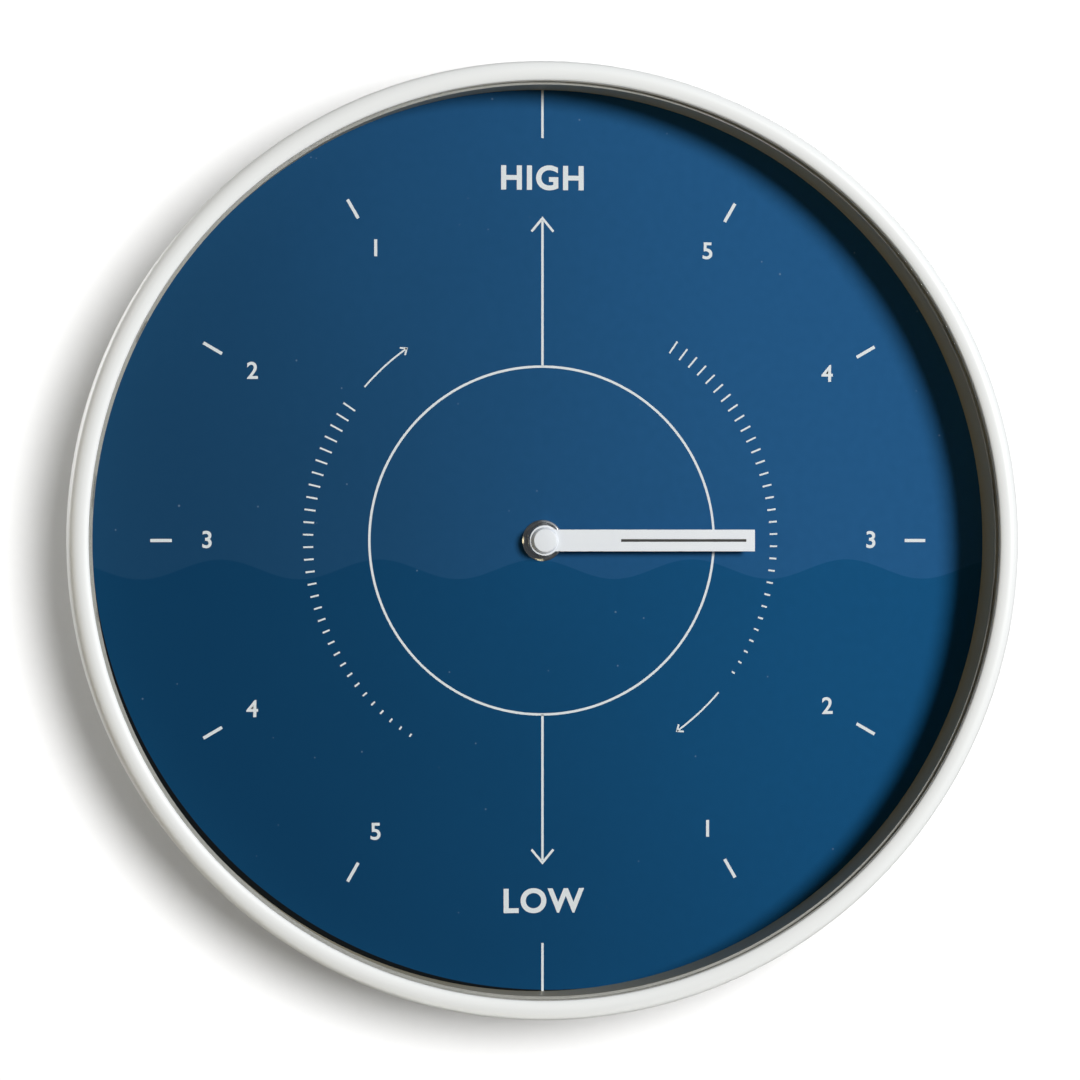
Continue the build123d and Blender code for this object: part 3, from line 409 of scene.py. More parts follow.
def slab(name, loops, back, front, edge=0.0):
    """A plate with rounded edges from closed loops, holes among them, between two heights off the wall."""
    curve = bpy.data.curves.new(name, "CURVE")
    curve.dimensions = "2D"
    curve.fill_mode = "BOTH"
    curve.extrude = (front - back) / 2 - edge
    curve.bevel_depth = edge
    curve.bevel_resolution = 2
    curve.offset = -edge
    for loop in loops:
        spline = curve.splines.new("POLY")
        spline.points.add(len(loop) - 1)
        for point, (across, along) in zip(spline.points, loop):
            point.co = (across, along, 0, 1)
        spline.use_cyclic_u = True
    mesh = settle(bpy.data.objects.new(name, curve))
    return stood(mesh, name, (front + back) / 2)


def stood(mesh, name, height):
    """A mesh drawn lying face up, stood upright to face the viewer at a height off the wall."""
    shape = bmesh.new()
    shape.from_mesh(mesh)
    bmesh.ops.transform(shape, matrix=Matrix.Rotation(math.pi / 2, 4, "X"), verts=shape.verts)
    bmesh.ops.translate(shape, vec=(0, -height, 0), verts=shape.verts)
    return clean(shape, name)


def joined(name, meshes):
    """Several meshes as one."""
    shape = bmesh.new()
    for mesh in meshes:
        shape.from_mesh(mesh)
    mesh = bpy.data.meshes.new(name)
    shape.to_mesh(mesh)
    shape.free()
    return even(mesh)


def bar(left, right, low, high):
    return ((left, low), (right, low), (right, high), (left, high))


def circle(radius, across=0.0, along=0.0, steps=96):
    turns = [2 * math.pi * step / steps for step in range(steps)]
    return [(across + radius * math.cos(turn), along + radius * math.sin(turn)) for turn in turns]


def stroke(points, width):
    """The outline of a pen stroke along a few points, with mitred corners."""
    points = [Vector(point) for point in points]
    sides = ([], [])
    for number, point in enumerate(points):
        back = point - points[max(number - 1, 0)]
        ahead = points[min(number + 1, len(points) - 1)] - point
        normals = [Vector((-run.y, run.x)).normalized() for run in (back, ahead) if run.length]
        lean = sum(normals, Vector((0, 0))).normalized()
        reach = width / 2 / lean.dot(normals[0])
        sides[0].append(point + lean * reach)
        sides[1].append(point - lean * reach)
    return sides[0] + sides[1][::-1]


def ink(loops):
    """A flat print of closed loops on the dial, half of its thickness in the sheet."""
    return slab("ink", loops, dial_height - ink_height, dial_height + ink_height)


def new_tree(name, inputs):
    """A Geometry Nodes tree with these inputs between its geometry and its material, and what they give."""
    tree = bpy.data.node_groups.new(name, "GeometryNodeTree")
    kinds = {"Geometry": "Geometry", **inputs, "Material": "Material"}
    for label, kind in kinds.items():
        tree.interface.new_socket(label, in_out="INPUT", socket_type="NodeSocket" + kind)
    tree.interface.new_socket("Geometry", in_out="OUTPUT", socket_type="NodeSocketGeometry")
    recipe = Recipe(tree)
    entry = recipe.node("NodeGroupInput", {}, {})
    given = {output.name: Reading(recipe, output) for output in entry.socket.node.outputs}
    return recipe, given


def end_tree(recipe, material, sockets):
    """Ends a tree with copies on its points, made real and given their material."""
    copies = recipe.node("GeometryNodeInstanceOnPoints", {}, sockets)
    solid = recipe.node("GeometryNodeRealizeInstances", {}, {0: copies})
    dressed = recipe.node("GeometryNodeSetMaterial", {}, {"Geometry": solid, "Material": material})
    recipe.node("NodeGroupOutput", {}, {0: dressed})
    return recipe.tree


def ring_of_copies():
    """A tree that repeats a mesh round the dial's axis, stretched along the radius from first to last."""
    numbers = ("Radius", "First Angle", "Angle Step", "First Stretch", "Last Stretch")
    recipe, given = new_tree("ring_of_copies", {"Count": "Int", **dict.fromkeys(numbers, "Float")})
    index = recipe.node("GeometryNodeInputIndex", {}, {})
    turn = given["First Angle"] + index * given["Angle Step"]
    radius = given["Radius"]
    across = radius * turn.maths("COSINE", turn)
    up = radius * turn.maths("SINE", turn)
    place = recipe.node("ShaderNodeCombineXYZ", {}, {"X": across, "Z": up})
    points = recipe.node("GeometryNodePoints", {}, {"Count": given["Count"], "Position": place})
    grown = index / (given["Count"] - 1.0 + 1e-6)
    stretch = given["First Stretch"] + grown * (given["Last Stretch"] - given["First Stretch"])
    scale = recipe.node("ShaderNodeCombineXYZ", {}, {"X": stretch, "Y": 1.0, "Z": 1.0})
    facing = recipe.node("ShaderNodeCombineXYZ", {}, {"Y": -turn})
    sockets = {"Points": points, "Instance": given["Geometry"], "Rotation": facing, "Scale": scale}
    return end_tree(recipe, given["Material"], sockets)


def run_tree(tree, name, mesh, settings):
    """The plain mesh that a tree makes from a mesh with these named inputs."""
    thing = bpy.data.objects.new(name, mesh)
    modifier = thing.modifiers.new(tree.name, "NODES")
    modifier.node_group = tree
    for item in tree.interface.items_tree:
        if item.in_out == "INPUT" and item.name in settings:
            modifier[item.identifier] = settings[item.name]
    return settle(thing)


copies_round = ring_of_copies()


def repeated(mesh, finish, count, radius, first, step, grow=(1.0, 1.0)):
    """Copies of a mesh round the dial's axis; angles are degrees, clockwise from the top."""
    settings = {
        "Count": count,
        "Radius": radius,
        "First Angle": math.radians(90 - first),
        "Angle Step": math.radians(-step),
        "First Stretch": grow[0],
        "Last Stretch": grow[1],
        "Material": finish.material,
    }
    return run_tree(copies_round, mesh.name, mesh, settings)


def on_dial(radius, clock_angle):
    """A place on the dial; the angle is degrees, clockwise from the top."""
    turn = math.radians(90 - clock_angle)
    return (radius * math.cos(turn), radius * math.sin(turn))


def lettering(words, cap_height, place, boldness):
    """Words in the plain built-in letter, centred on a place and made a mesh of ink."""
    text = bpy.data.curves.new("lettering", "FONT")
    text.body = words
    text.align_x = "CENTER"
    text.align_y = "CENTER"
    text.size = cap_height * CAP_TO_SIZE
    text.extrude = ink_height
    text.offset = boldness
    text.space_character = LETTER_SPACING
    mesh = settle(bpy.data.objects.new("lettering", text))
    mesh.transform(Matrix.Translation((place[0], place[1], 0)))
    return stood(mesh, "lettering", dial_height)


CAP_TO_SIZE = 1.37
LETTER_SPACING = 1.12
hour_radius = 120.5 * MM
hour_length = 6.75 * MM
hour_width = 1.0 * MM
number_radius = 106.1 * MM
number_height = 5.45 * MM
centre_radius = 55.05 * MM
line_width = 0.75 * MM
arrow_reach = 102.0 * MM
arrow_half_width = 3.5 * MM
arrow_height = 4.2 * MM
edge_line_start = 127.4 * MM
word_radius = 114.4 * MM
word_height = 7.6 * MM
tide_radius = 74.4 * MM
tide_stroke = 4.5 * MM
tide_stroke_width = 0.55 * MM
tide_strokes = 31
tide_first = 34.4
tide_step = 3.0
tide_ebb = 0.25
curl_first = 130.5
curl_last = 144.5
curl_head = 2.2 * MM

white_ink = Finish("white_ink")
screen = white_ink.noise(0.4 * MM, 3)
white_ink.surface(
    colour=white_ink.blend(screen, paint(226, 232, 238), paint(240, 243, 246)),
    roughness=0.5 + screen * 0.1,
)

hour_stroke = ink([bar(-hour_length / 2, hour_length / 2, -hour_width / 2, hour_width / 2)])
marks = [repeated(hour_stroke, white_ink, 5, hour_radius, first, 30.0) for first in (30.0, 210.0)]
for hours_left in range(1, 6):
    for side in (0.0, 180.0):
        place = on_dial(number_radius, side + 180.0 - 30.0 * hours_left)
        marks.append(lettering(str(hours_left), number_height, place, 0.12 * MM))
centre_edges = (centre_radius + line_width / 2, centre_radius - line_width / 2)
marks.append(ink([circle(radius, steps=240) for radius in centre_edges]))
for words, side in (("HIGH", 1), ("LOW", -1)):
    marks.append(lettering(words, word_height, (0.0, side * word_radius), 0.3 * MM))
    shaft = ((0.0, side * centre_radius), (0.0, side * (arrow_reach - line_width)))
    barb_height = side * (arrow_reach - arrow_height)
    head = ((-arrow_half_width, barb_height), (0.0, side * arrow_reach), (arrow_half_width, barb_height))
    edge_line = ((0.0, side * edge_line_start), (0.0, side * dial_high.x))
    marks += [ink([stroke(points, line_width)]) for points in (shaft, head, edge_line)]
tide_mark = ink([bar(-tide_stroke / 2, tide_stroke / 2, -tide_stroke_width / 2, tide_stroke_width / 2)])
for side, grow in ((0.0, (1.0, tide_ebb)), (180.0, (tide_ebb, 1.0))):
    first = side + tide_first
    marks.append(repeated(tide_mark, white_ink, tide_strokes, tide_radius, first, tide_step, grow))
    curl_turns = range(int(curl_last - curl_first) + 1)
    curl = [on_dial(tide_radius, side + curl_first + turn) for turn in curl_turns]
    tip = Vector(curl[-1])
    back = (Vector(curl[-2]) - tip).normalized() * curl_head
    barbs = [tip + Matrix.Rotation(math.radians(turn), 2) @ back for turn in (40, -40)]
    marks += [ink([stroke(points, tide_stroke_width)]) for points in (curl, (barbs[0], tip, barbs[1]))]
fit(joined("dial_marks", marks), white_ink, "case", "dial_print")

# Bosses
# Eight blocks between the ring's two walls, moulded in one with it.
# Each has a blind hole for a screw of the pan.
screw_circle = wall_radius + 2.0 * MM
screw_angles = [22.5 + 45.0 * number for number in range(8)]
boss_start = wall_radius + inner_wall / 2
boss_end = case_radius - case_wall / 2
boss_middle = (boss_start + boss_end) / 2
boss_reach = (boss_end - boss_start) / 2
boss_half = 4.0 * MM
boss_hole = 1.15 * MM
boss_loops = [bar(-boss_reach, boss_reach, -boss_half, boss_half)]
boss_loops.append(circle(boss_hole, screw_circle - boss_middle, 0.0, 24))
boss = slab("boss", boss_loops, dial_height, crown_height + case_wall / 2, 0.2 * MM)
bosses = repeated(boss, case_white, len(screw_angles), boss_middle, screw_angles[0], 45.0)
case_ring = joined("case_ring_moulding", [case_ring, bosses])
fit(case_ring, case_white, "case", "white_plastic", "case_ring")

# Back pan
# A white moulded disc behind the dial, stiffened by two rings and twelve spokes. A frame keeps the movement
# from turning and two posts carry the hanger. The pins that push it out of its mould leave round marks.
pan_low, pan_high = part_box("back_pan")
pan_radius = pan_high.x
pan_front = -dial_high.y
pan_back = pan_front - 2.5 * MM
pan_recess = dial_high.x + 0.3 * MM
base_low, base_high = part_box("movement_base")
pan_hole = 1.15 * MM
rib = 1.6 * MM
rib_root = 0.2 * MM
spokes = 12
rib_back = pan_back - 4.5 * MM
frame_back = pan_back - 5.0 * MM
frame_gap = 0.3 * MM
frame_side = base_high.x + frame_gap + rib
inner_ring = math.hypot(frame_side, frame_side) + 6.0 * MM
outer_ring = screw_circle - 2.9 * MM
post_spread = 16.5 * MM
post_height = 105.0 * MM
post_radius = 3.6 * MM
post_hole = 1.3 * MM
edge_round = 0.35 * MM
pin_mark = 3.0 * MM
pin_line = 0.25 * MM
pin_rise = 0.06 * MM


def box_loop(left, right, low, high, corner):
    corners = ((left, low, corner), (right, low, corner), (right, high, corner), (left, high, corner))
    return with_rounds(8, *corners)


def moulded(name, dark, light, roughness, grain, edge):
    """A moulded plastic: clouded colour, a fine grained skin and rounded edges that are a little rubbed."""
    finish = Finish(name)
    cloud = finish.noise(12 * MM, 4)
    skin = finish.noise(grain, 2)
    soft = finish.edges(edge)
    flat = finish.node("ShaderNodeNewGeometry", {}, {}, "Normal")
    sockets = {0: soft, 1: flat}
    corner = finish.node("ShaderNodeVectorMath", {"operation": "DOT_PRODUCT"}, sockets, "Value")
    rubbed = finish.ramp(corner, 0.99, 0.85) * finish.ramp(finish.noise(2 * MM, 4), 0.4, 0.65)
    colour = finish.blend(cloud, dark, light)
    worn = [min(channel * 1.35 + 0.03, 0.9) for channel in light[:3]]
    finish.surface(
        colour=finish.blend(rubbed * 0.5, colour, (*worn, 1.0)),
        roughness=roughness + cloud * 0.08 - rubbed * 0.1,
        normal=finish.bumps(skin, 0.02 * MM, soft),
    )
    return finish


pan_white = moulded("pan_white", paint(222, 221, 216), paint(233, 232, 228), 0.42, 0.5 * MM, edge_round)
screw_holes = [circle(pan_hole, *on_dial(screw_circle, angle), 24) for angle in screw_angles]
disc_loops = [circle(pan_radius, steps=360), circle(hole_radius)] + screw_holes
lip_loops = [circle(pan_radius, steps=360), circle(pan_recess, steps=360)] + screw_holes
pan_pieces = [slab("pan_disc", disc_loops, pan_back, pan_front, 0.2 * MM)]
pan_pieces.append(slab("pan_lip", lip_loops, pan_front - rib_root, dial_height, 0.1 * MM))
for radius in (inner_ring, outer_ring):
    ring_loops = [circle(radius, steps=240), circle(radius - rib, steps=240)]
    pan_pieces.append(slab("pan_ring", ring_loops, rib_back, pan_back + rib_root, edge_round))
spoke_half = (outer_ring - inner_ring) / 2
spoke_loop = bar(-spoke_half, spoke_half, -rib / 2, rib / 2)
spoke = slab("pan_spoke", [spoke_loop], rib_back, pan_back + rib_root, edge_round)
spoke_middle = (outer_ring + inner_ring - rib) / 2
pan_pieces.append(repeated(spoke, pan_white, spokes, spoke_middle, 180 / spokes, 360 / spokes))
frame_loops = []
for reach in (frame_gap + rib, frame_gap):
    sides = (base_low.x - reach, base_high.x + reach, base_low.z - reach, base_high.z + reach)
    frame_loops.append(box_loop(*sides, 3.0 * MM + reach))
pan_pieces.append(slab("pan_frame", frame_loops, frame_back, pan_back + rib_root, edge_round))
for side in (-post_spread, post_spread):
    post_loops = [circle(post_radius, side, post_height), circle(post_hole, side, post_height, 24)]
    pan_pieces.append(slab("hanger_post", post_loops, -pan_high.y, pan_back + rib_root, edge_round))
pin_loops = [circle(pin_mark, steps=32), circle(pin_mark - pin_line, steps=32)]
pin = slab("pin_mark", pin_loops, pan_back - pin_rise, pan_back + rib_root)
for radius, first in ((64 * MM, 0.0), (128 * MM, 0.0), (96 * MM, 7.0)):
    pan_pieces.append(repeated(pin, pan_white, spokes, radius, first, 360 / spokes))
fit(joined("back_pan_moulding", pan_pieces), pan_white, "case", "white_plastic", "back_pan")

# Pan screws
# Eight zinc plated self-tapping screws with a cross slot, driven from behind through the pan into the
# bosses. Each has stopped at a turn of its own.
zinc = Finish("zinc_plating")
spangle = zinc.node("ShaderNodeTexVoronoi", {}, {"Vector": zinc.place, "Scale": 1 / (1.2 * MM)}, "Color")
crystal = zinc.axes(spangle)[0]
haze = zinc.noise(4 * MM, 5)
zinc.surface(
    colour=zinc.blend(haze, paint(176, 178, 180), paint(205, 206, 205)),
    metal=1.0,
    roughness=0.26 + crystal * 0.1 + haze * 0.12,
    normal=zinc.bumps(zinc.noise(0.3 * MM, 3), 0.006 * MM, zinc.edges(0.1 * MM)),
)


def copies_in_places():
    """A tree that puts copies of a piece on the points of a mesh, each turned by its own amount."""
    inputs = {"Piece": "Object", "Most Turn": "Float", "Seed": "Int"}
    recipe, given = new_tree("copies_in_places", inputs)
    points = recipe.node("GeometryNodeMeshToPoints", {}, {"Mesh": given["Geometry"]})
    piece = recipe.node("GeometryNodeObjectInfo", {}, {"Object": given["Piece"]}, "Geometry")
    sockets = {2: 0.0, 3: given["Most Turn"], "Seed": given["Seed"]}
    turn = recipe.node("FunctionNodeRandomValue", {"data_type": "FLOAT"}, sockets, 1)
    facing = recipe.node("ShaderNodeCombineXYZ", {}, {"Y": turn})
    return end_tree(recipe, given["Material"], {"Points": points, "Instance": piece, "Rotation": facing})


copies_placed = copies_in_places()


def tapping_screw(head_radius, seat, head_height, shank_radius, length):
    """A cross-slotted self-tapping screw with its head towards the wall, on a seat at this height off it."""
    arm = head_radius * 0.58
    half = head_radius * 0.13
    slot = [(half, half), (half, arm), (-half, arm), (-half, half), (-arm, half), (-arm, -half)]
    slot += [(-half, -half), (-half, -arm), (half, -arm), (half, -half), (arm, -half), (arm, half)]
    face = seat - head_height
    floor = seat - head_height * 0.4
    pieces = [slab("head", [circle(head_radius, steps=48), slot], face, floor, head_height * 0.14)]
    pieces.append(slab("head", [circle(head_radius, steps=48)], floor - 1e-5, seat))
    root = shank_radius * 0.8
    pitch = shank_radius * 0.75
    outline = [(0.0, seat - 1e-5), (root, seat - 1e-5)]
    turns = int(length * 0.85 / pitch)
    for number in range(turns):
        start = seat + number * pitch
        outline.append((root, start + pitch * 0.2))
        outline.append((shank_radius, start + pitch * 0.5))
        outline.append((root, start + pitch * 0.8))
    outline += [(root, seat + length * 0.86), (shank_radius * 0.1, seat + length), (0.0, seat + length)]
    pieces.append(turned("shank", outline, 24))
    return joined("screw", pieces)


def screws(name, screw, places, seed, *nodes):
    """Screws in their places, each stopped at a turn of its own."""
    spots = bpy.data.meshes.new(name)
    spots.from_pydata([(across, 0, up) for across, up in places], [], [])
    piece = bpy.data.objects.new("screw", screw)
    settings = {"Piece": piece, "Most Turn": 2 * math.pi, "Seed": seed, "Material": zinc.material}
    mesh = run_tree(copies_placed, name, spots, settings)
    bpy.data.objects.remove(piece)
    fit(mesh, zinc, "case", "zinc_steel", *nodes)


pan_screw = tapping_screw(
    head_radius=2.3 * MM, seat=pan_back, head_height=1.6 * MM, shank_radius=1.05 * MM, length=10 * MM
)
screws("pan_screw_set", pan_screw, [on_dial(screw_circle, angle) for angle in screw_angles], 3, "pan_screws")

# Hanger
# A stamped, zinc plated steel plate with a keyhole for the head of a screw in the wall. Two self-tapping
# screws hold it on the pan's posts, and the keyhole's edges are scratched by use.
plate_low, plate_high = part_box("hanger_plate")
keyhole_entry = 4.5 * MM
keyhole_low = post_height - 4.5 * MM
keyhole_high = post_height + 4.5 * MM
slot_half = 2.3 * MM
shoulder = math.acos(slot_half / keyhole_entry)
keyhole = []
for step in range(49):
    turn = math.pi - shoulder + (math.pi + 2 * shoulder) * step / 48
    keyhole.append((keyhole_entry * math.cos(turn), keyhole_low + keyhole_entry * math.sin(turn)))
for step in range(25):
    turn = math.pi * step / 24
    keyhole.append((slot_half * math.cos(turn), keyhole_high + slot_half * math.sin(turn)))
plate_loops = [box_loop(plate_low.x, plate_high.x, plate_low.z, plate_high.z, 3.0 * MM), keyhole]
plate_loops += [circle(post_hole, side, post_height, 32) for side in (-post_spread, post_spread)]
hanger = slab("hanger_stamping", plate_loops, -plate_high.y, -plate_low.y, 0.15 * MM)

plate_zinc = Finish("plate_zinc")
across, depth, up = plate_zinc.axes(plate_zinc.place)
rolled = plate_zinc.node("ShaderNodeMapping", {}, {"Vector": plate_zinc.place, "Scale": (0.06, 1, 1)})
grain = plate_zinc.noise(0.25 * MM, 4, rolled)
haze = plate_zinc.noise(6 * MM, 5)
reach = (across ** 2.0 + (up - keyhole_low) ** 2.0) ** 0.5
scratches = plate_zinc.ramp(plate_zinc.noise(0.6 * MM, 5), 0.48, 0.6)
rubbed = plate_zinc.ramp(reach, 8.5 * MM, 4.6 * MM) * scratches
plated = plate_zinc.blend(haze, paint(168, 171, 172), paint(200, 201, 198))
plate_zinc.surface(
    colour=plate_zinc.blend(rubbed * 0.6, plated, paint(128, 126, 122)),
    metal=1.0,
    roughness=0.28 + grain * 0.18 + rubbed * 0.15,
    normal=plate_zinc.bumps(grain + rubbed * 0.5, 0.006 * MM),
)
fit(hanger, plate_zinc, "case", "zinc_steel", "hanger_plate")
hanger_screw = tapping_screw(
    head_radius=2.6 * MM, seat=-plate_high.y, head_height=1.4 * MM, shank_radius=1.2 * MM, length=9 * MM
)
hanger_places = [(side, post_height) for side in (-post_spread, post_spread)]
screws("hanger_screw_set", hanger_screw, hanger_places, 8, "hanger_screws")

# Movement case
# A tray and a lid moulded in black plastic, with an open bay for the cell below. Four small self-tapping
# screws close it, and raised signs tell the cell's ends and what the knob does.


def dress(finish, *nodes):
    """Gives a finish to nodes that keep the shape they have in the CAD model."""
    for node in nodes:
        thing = bpy.data.objects[node]
        if not thing.material_slots:
            thing.data.materials.append(finish.material)
        for place in thing.material_slots:
            place.material = finish.material


black_plastic = moulded("black_plastic", paint(26, 26, 27), paint(36, 36, 37), 0.45, 0.35 * MM, 0.3 * MM)
dress(black_plastic, "movement_base", "movement_lid")
lid_low, lid_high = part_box("movement_lid")
lid_screw_low, lid_screw_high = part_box("lid_screws")
lid_head = 1.7 * MM
lid_screw = tapping_screw(
    head_radius=lid_head, seat=-lid_high.y, head_height=1.0 * MM, shank_radius=0.8 * MM, length=7 * MM
)
upper_across = lid_screw_high.x - lid_head
lower_across = 23.4 * MM
lower_up = lid_screw_low.z + lid_head
upper_up = lid_screw_high.z - lid_head
lid_places = [(-upper_across, upper_up), (upper_across, upper_up)]
lid_places += [(-lower_across, lower_up), (lower_across, lower_up)]
screws("lid_screw_set", lid_screw, lid_places, 5, "lid_screws")

sign_rise = 0.2 * MM
sign_root = 0.05 * MM
sign_line = 0.7 * MM
sign_arm = 1.7 * MM
sign_across = 17.5 * MM
sign_up = lid_low.z + 3.4 * MM
arrow_gap = 2.3 * MM
barb = 1.7 * MM
knob_low, knob_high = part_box("setting_knob")
knob_middle = Vector(((knob_low.x + knob_high.x) / 2, (knob_low.z + knob_high.z) / 2))
arrow_radius = knob_high.x - knob_middle.x + arrow_gap
arrow = [knob_middle + Vector(on_dial(arrow_radius, turn)) for turn in range(-44, 45, 4)]
signs = [stroke(arrow, sign_line)]
for tip, inward in ((arrow[0], arrow[2]), (arrow[-1], arrow[-3])):
    back = (inward - tip).normalized() * barb
    ends = [tip + Matrix.Rotation(math.radians(turn), 2) @ back for turn in (45, -45)]
    signs.append(stroke((ends[0], tip, ends[1]), sign_line))
minus = bar(-sign_arm, sign_arm, -sign_line / 2, sign_line / 2)
signs.append([(across - sign_across, along + sign_up) for across, along in minus])
plus_arm = ((-sign_line / 2, sign_arm), (sign_line / 2, sign_arm), (sign_line / 2, sign_line / 2))
quarters = [Matrix.Rotation(-math.pi / 2 * quarter, 2) for quarter in range(4)]
plus_middle = Vector((sign_across, sign_up))
signs.append([plus_middle + quarter @ Vector(corner) for quarter in quarters for corner in plus_arm])
lid_back = -lid_high.y
raised = [slab("lid_sign", [sign], lid_back - sign_rise, lid_back + sign_root, 0.08 * MM) for sign in signs]
fit(joined("lid_signs", raised), black_plastic, "case", "black_plastic")

# Rubber washer
# A black rubber ring between movement and pan, a little dusty.
# It is squeezed by the nut and keeps the tick out of the pan.
black_rubber = Finish("black_rubber")
bloom = black_rubber.noise(1.5 * MM, 5)
black_rubber.surface(
    colour=black_rubber.blend(bloom, paint(22, 22, 22), paint(44, 43, 42)),
    roughness=0.75 + bloom * 0.2,
    normal=black_rubber.bumps(bloom, 0.02 * MM, black_rubber.edges(0.2 * MM)),
)
dress(black_rubber, "rubber_washer")

# Bush, washer and nut
# The movement's threaded brass bush comes through the dial. On it, a bright nickel plated washer and hexagon
# nut hold movement, pan and dial together.


def metal(name, dark, light, roughness, feature, edge, stretch=(1, 1, 1)):
    """A bare or plated metal: cloudy tarnish, fine marks from its making and softened edges."""
    finish = Finish(name)
    drawn = finish.node("ShaderNodeMapping", {}, {"Vector": finish.place, "Scale": stretch})
    marks = finish.noise(feature, 4, drawn)
    tarnish = finish.noise(8 * feature, 5)
    finish.surface(
        colour=finish.blend(tarnish, dark, light),
        metal=1.0,
        roughness=roughness + tarnish * 0.1 + marks * 0.08,
        normal=finish.bumps(marks, 0.02 * feature, finish.edges(edge)),
    )
    return finish


lathe_marks = (0.1, 3, 0.1)
old_brass = paint(186, 150, 82)
new_brass = paint(214, 180, 108)
turned_brass = metal("turned_brass", old_brass, new_brass, 0.24, 0.2 * MM, 0.1 * MM, lathe_marks)
dress(turned_brass, "centre_bush")

nickel = Finish("nickel_plating")
across, depth, up = nickel.axes(nickel.place)
reach = (across ** 2.0 + up ** 2.0) ** 0.5
lathe = nickel.node("ShaderNodeCombineXYZ", {}, {"X": reach, "Y": depth * 0.3})
rings = nickel.noise(0.12 * MM, 3, lathe)
haze = nickel.noise(1.5 * MM, 4)
nickel.surface(
    colour=nickel.blend(haze, paint(192, 195, 201), paint(220, 222, 226)),
    metal=1.0,
    roughness=0.1 + haze * 0.08,
    normal=nickel.bumps(rings, 0.035 * MM, nickel.edges(0.12 * MM)),
)
thread_hole = 4.1 * MM
washer_low, washer_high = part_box("nut_washer")
washer_side = 0.25 * MM
washer_bevel = 0.55 * MM
washer_outline = with_rounds(
    4,
    (thread_hole, -washer_high.y, 0.05 * MM),
    (washer_high.x, -washer_high.y, 0.05 * MM),
    (washer_high.x, -washer_high.y + washer_side, 0.08 * MM),
    (washer_high.x - washer_bevel, -washer_low.y, 0.1 * MM),
    (thread_hole, -washer_low.y, 0.05 * MM),
)
fit(turned("washer_turning", washer_outline, 128), nickel, "case", "nickel", "nut_washer")

nut_low, nut_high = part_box("bush_nut")
nut_corner = nut_high.z
nut_crown = nut_corner - 0.6 * MM
nut_fall = 0.5
flat_steps = 12
nut_turns = [math.pi * k / 3 for k in range(7)]
nut_corners = [Vector((math.sin(turn), math.cos(turn))) * nut_corner for turn in nut_turns]
nut_shape = bmesh.new()
nut_sections = []
for number in range(6 * flat_steps):
    flat, step = divmod(number, flat_steps)
    side = nut_corners[flat].lerp(nut_corners[flat + 1], step / flat_steps)
    bore = side.normalized() * thread_hole
    top = side * min(nut_crown / side.length, 1.0)
    shoulder = -nut_low.y - nut_fall * (side - top).length
    under = [(bore, -nut_high.y), (side, -nut_high.y)]
    over = [(side, shoulder), (top, -nut_low.y), (bore, -nut_low.y)]
    nut_sections.append([nut_shape.verts.new((spot.x, -height, spot.y)) for spot, height in under + over])
for number, section in enumerate(nut_sections):
    before = nut_sections[number - 1]
    for k in range(len(section)):
        nut_shape.faces.new((before[k - 1], before[k], section[k], section[k - 1]))
nut = clean(nut_shape, "hexagon_nut")
fit(nut, nickel, "case", "nickel", "bush_nut")

# Gear train
# Wheels and pinions moulded in natural acetal, which run dry in holes of the tray and of a bridge.
# The centre wheel drives a steel arbor through a spring washer that slips when the hand is set.
acetal = moulded("natural_acetal", paint(214, 211, 200), paint(228, 226, 217), 0.4, 0.25 * MM, 0.08 * MM)
dress(acetal, "tide_wheel", "minute_wheel", "first_wheel", "second_wheel", "third_wheel")
dress(acetal, "centre_wheel", "setting_arbor", "rotor_pinion", "train_bridge")
dull_steel = paint(150, 151, 154)
bright_steel = paint(190, 191, 193)
arbor_steel = metal("arbor_steel", dull_steel, bright_steel, 0.16, 0.1 * MM, 0.05 * MM, (1, 0.1, 1))
dress(arbor_steel, "centre_arbor", "bridge_screws")
spring_steel = metal("spring_steel", paint(110, 112, 118), paint(150, 152, 156), 0.3, 0.15 * MM, 0.05 * MM)
dress(spring_steel, "clutch_spring")

# Motor
# A stator of soft iron sheet, a round ferrite magnet on the rotor, and a coil of enamelled copper wire on a
# plastic bobbin, slid on an iron core.
dull_iron = paint(118, 118, 116)
clean_iron = paint(150, 149, 145)
soft_iron = metal("soft_iron", dull_iron, clean_iron, 0.42, 0.3 * MM, 0.1 * MM, (1, 1, 0.2))
dress(soft_iron, "stator", "coil_core")
ferrite = metal("ferrite", paint(52, 51, 52), paint(74, 73, 73), 0.5, 0.4 * MM, 0.1 * MM)
dress(ferrite, "rotor_magnet")
bobbin_plastic = moulded("bobbin_plastic", paint(34, 60, 92), paint(44, 74, 108), 0.42, 0.3 * MM, 0.15 * MM)
dress(bobbin_plastic, "coil_bobbin")
wire_pitch = 0.11 * MM
copper = Finish("enamelled_copper")
across, depth, up = copper.axes(copper.place)
lay = across * (2 * math.pi / wire_pitch) + copper.noise(1.0 * MM, 3) * 4.0
# Each turn of wire is painted bright copper on its crest and dark brown in the crease to the next turn:
# painted highlight and painted shade. The same wave also drives roughness and bumps.
turns = lay.maths("SINE", lay) * 0.5 + 0.5
copper.surface(
    colour=copper.blend(turns, paint(96, 44, 22), paint(196, 112, 62)),
    metal=0.9,
    roughness=0.3 + turns * 0.1,
    normal=copper.bumps(turns, 0.03 * MM),
)
dress(copper, "coil_winding")

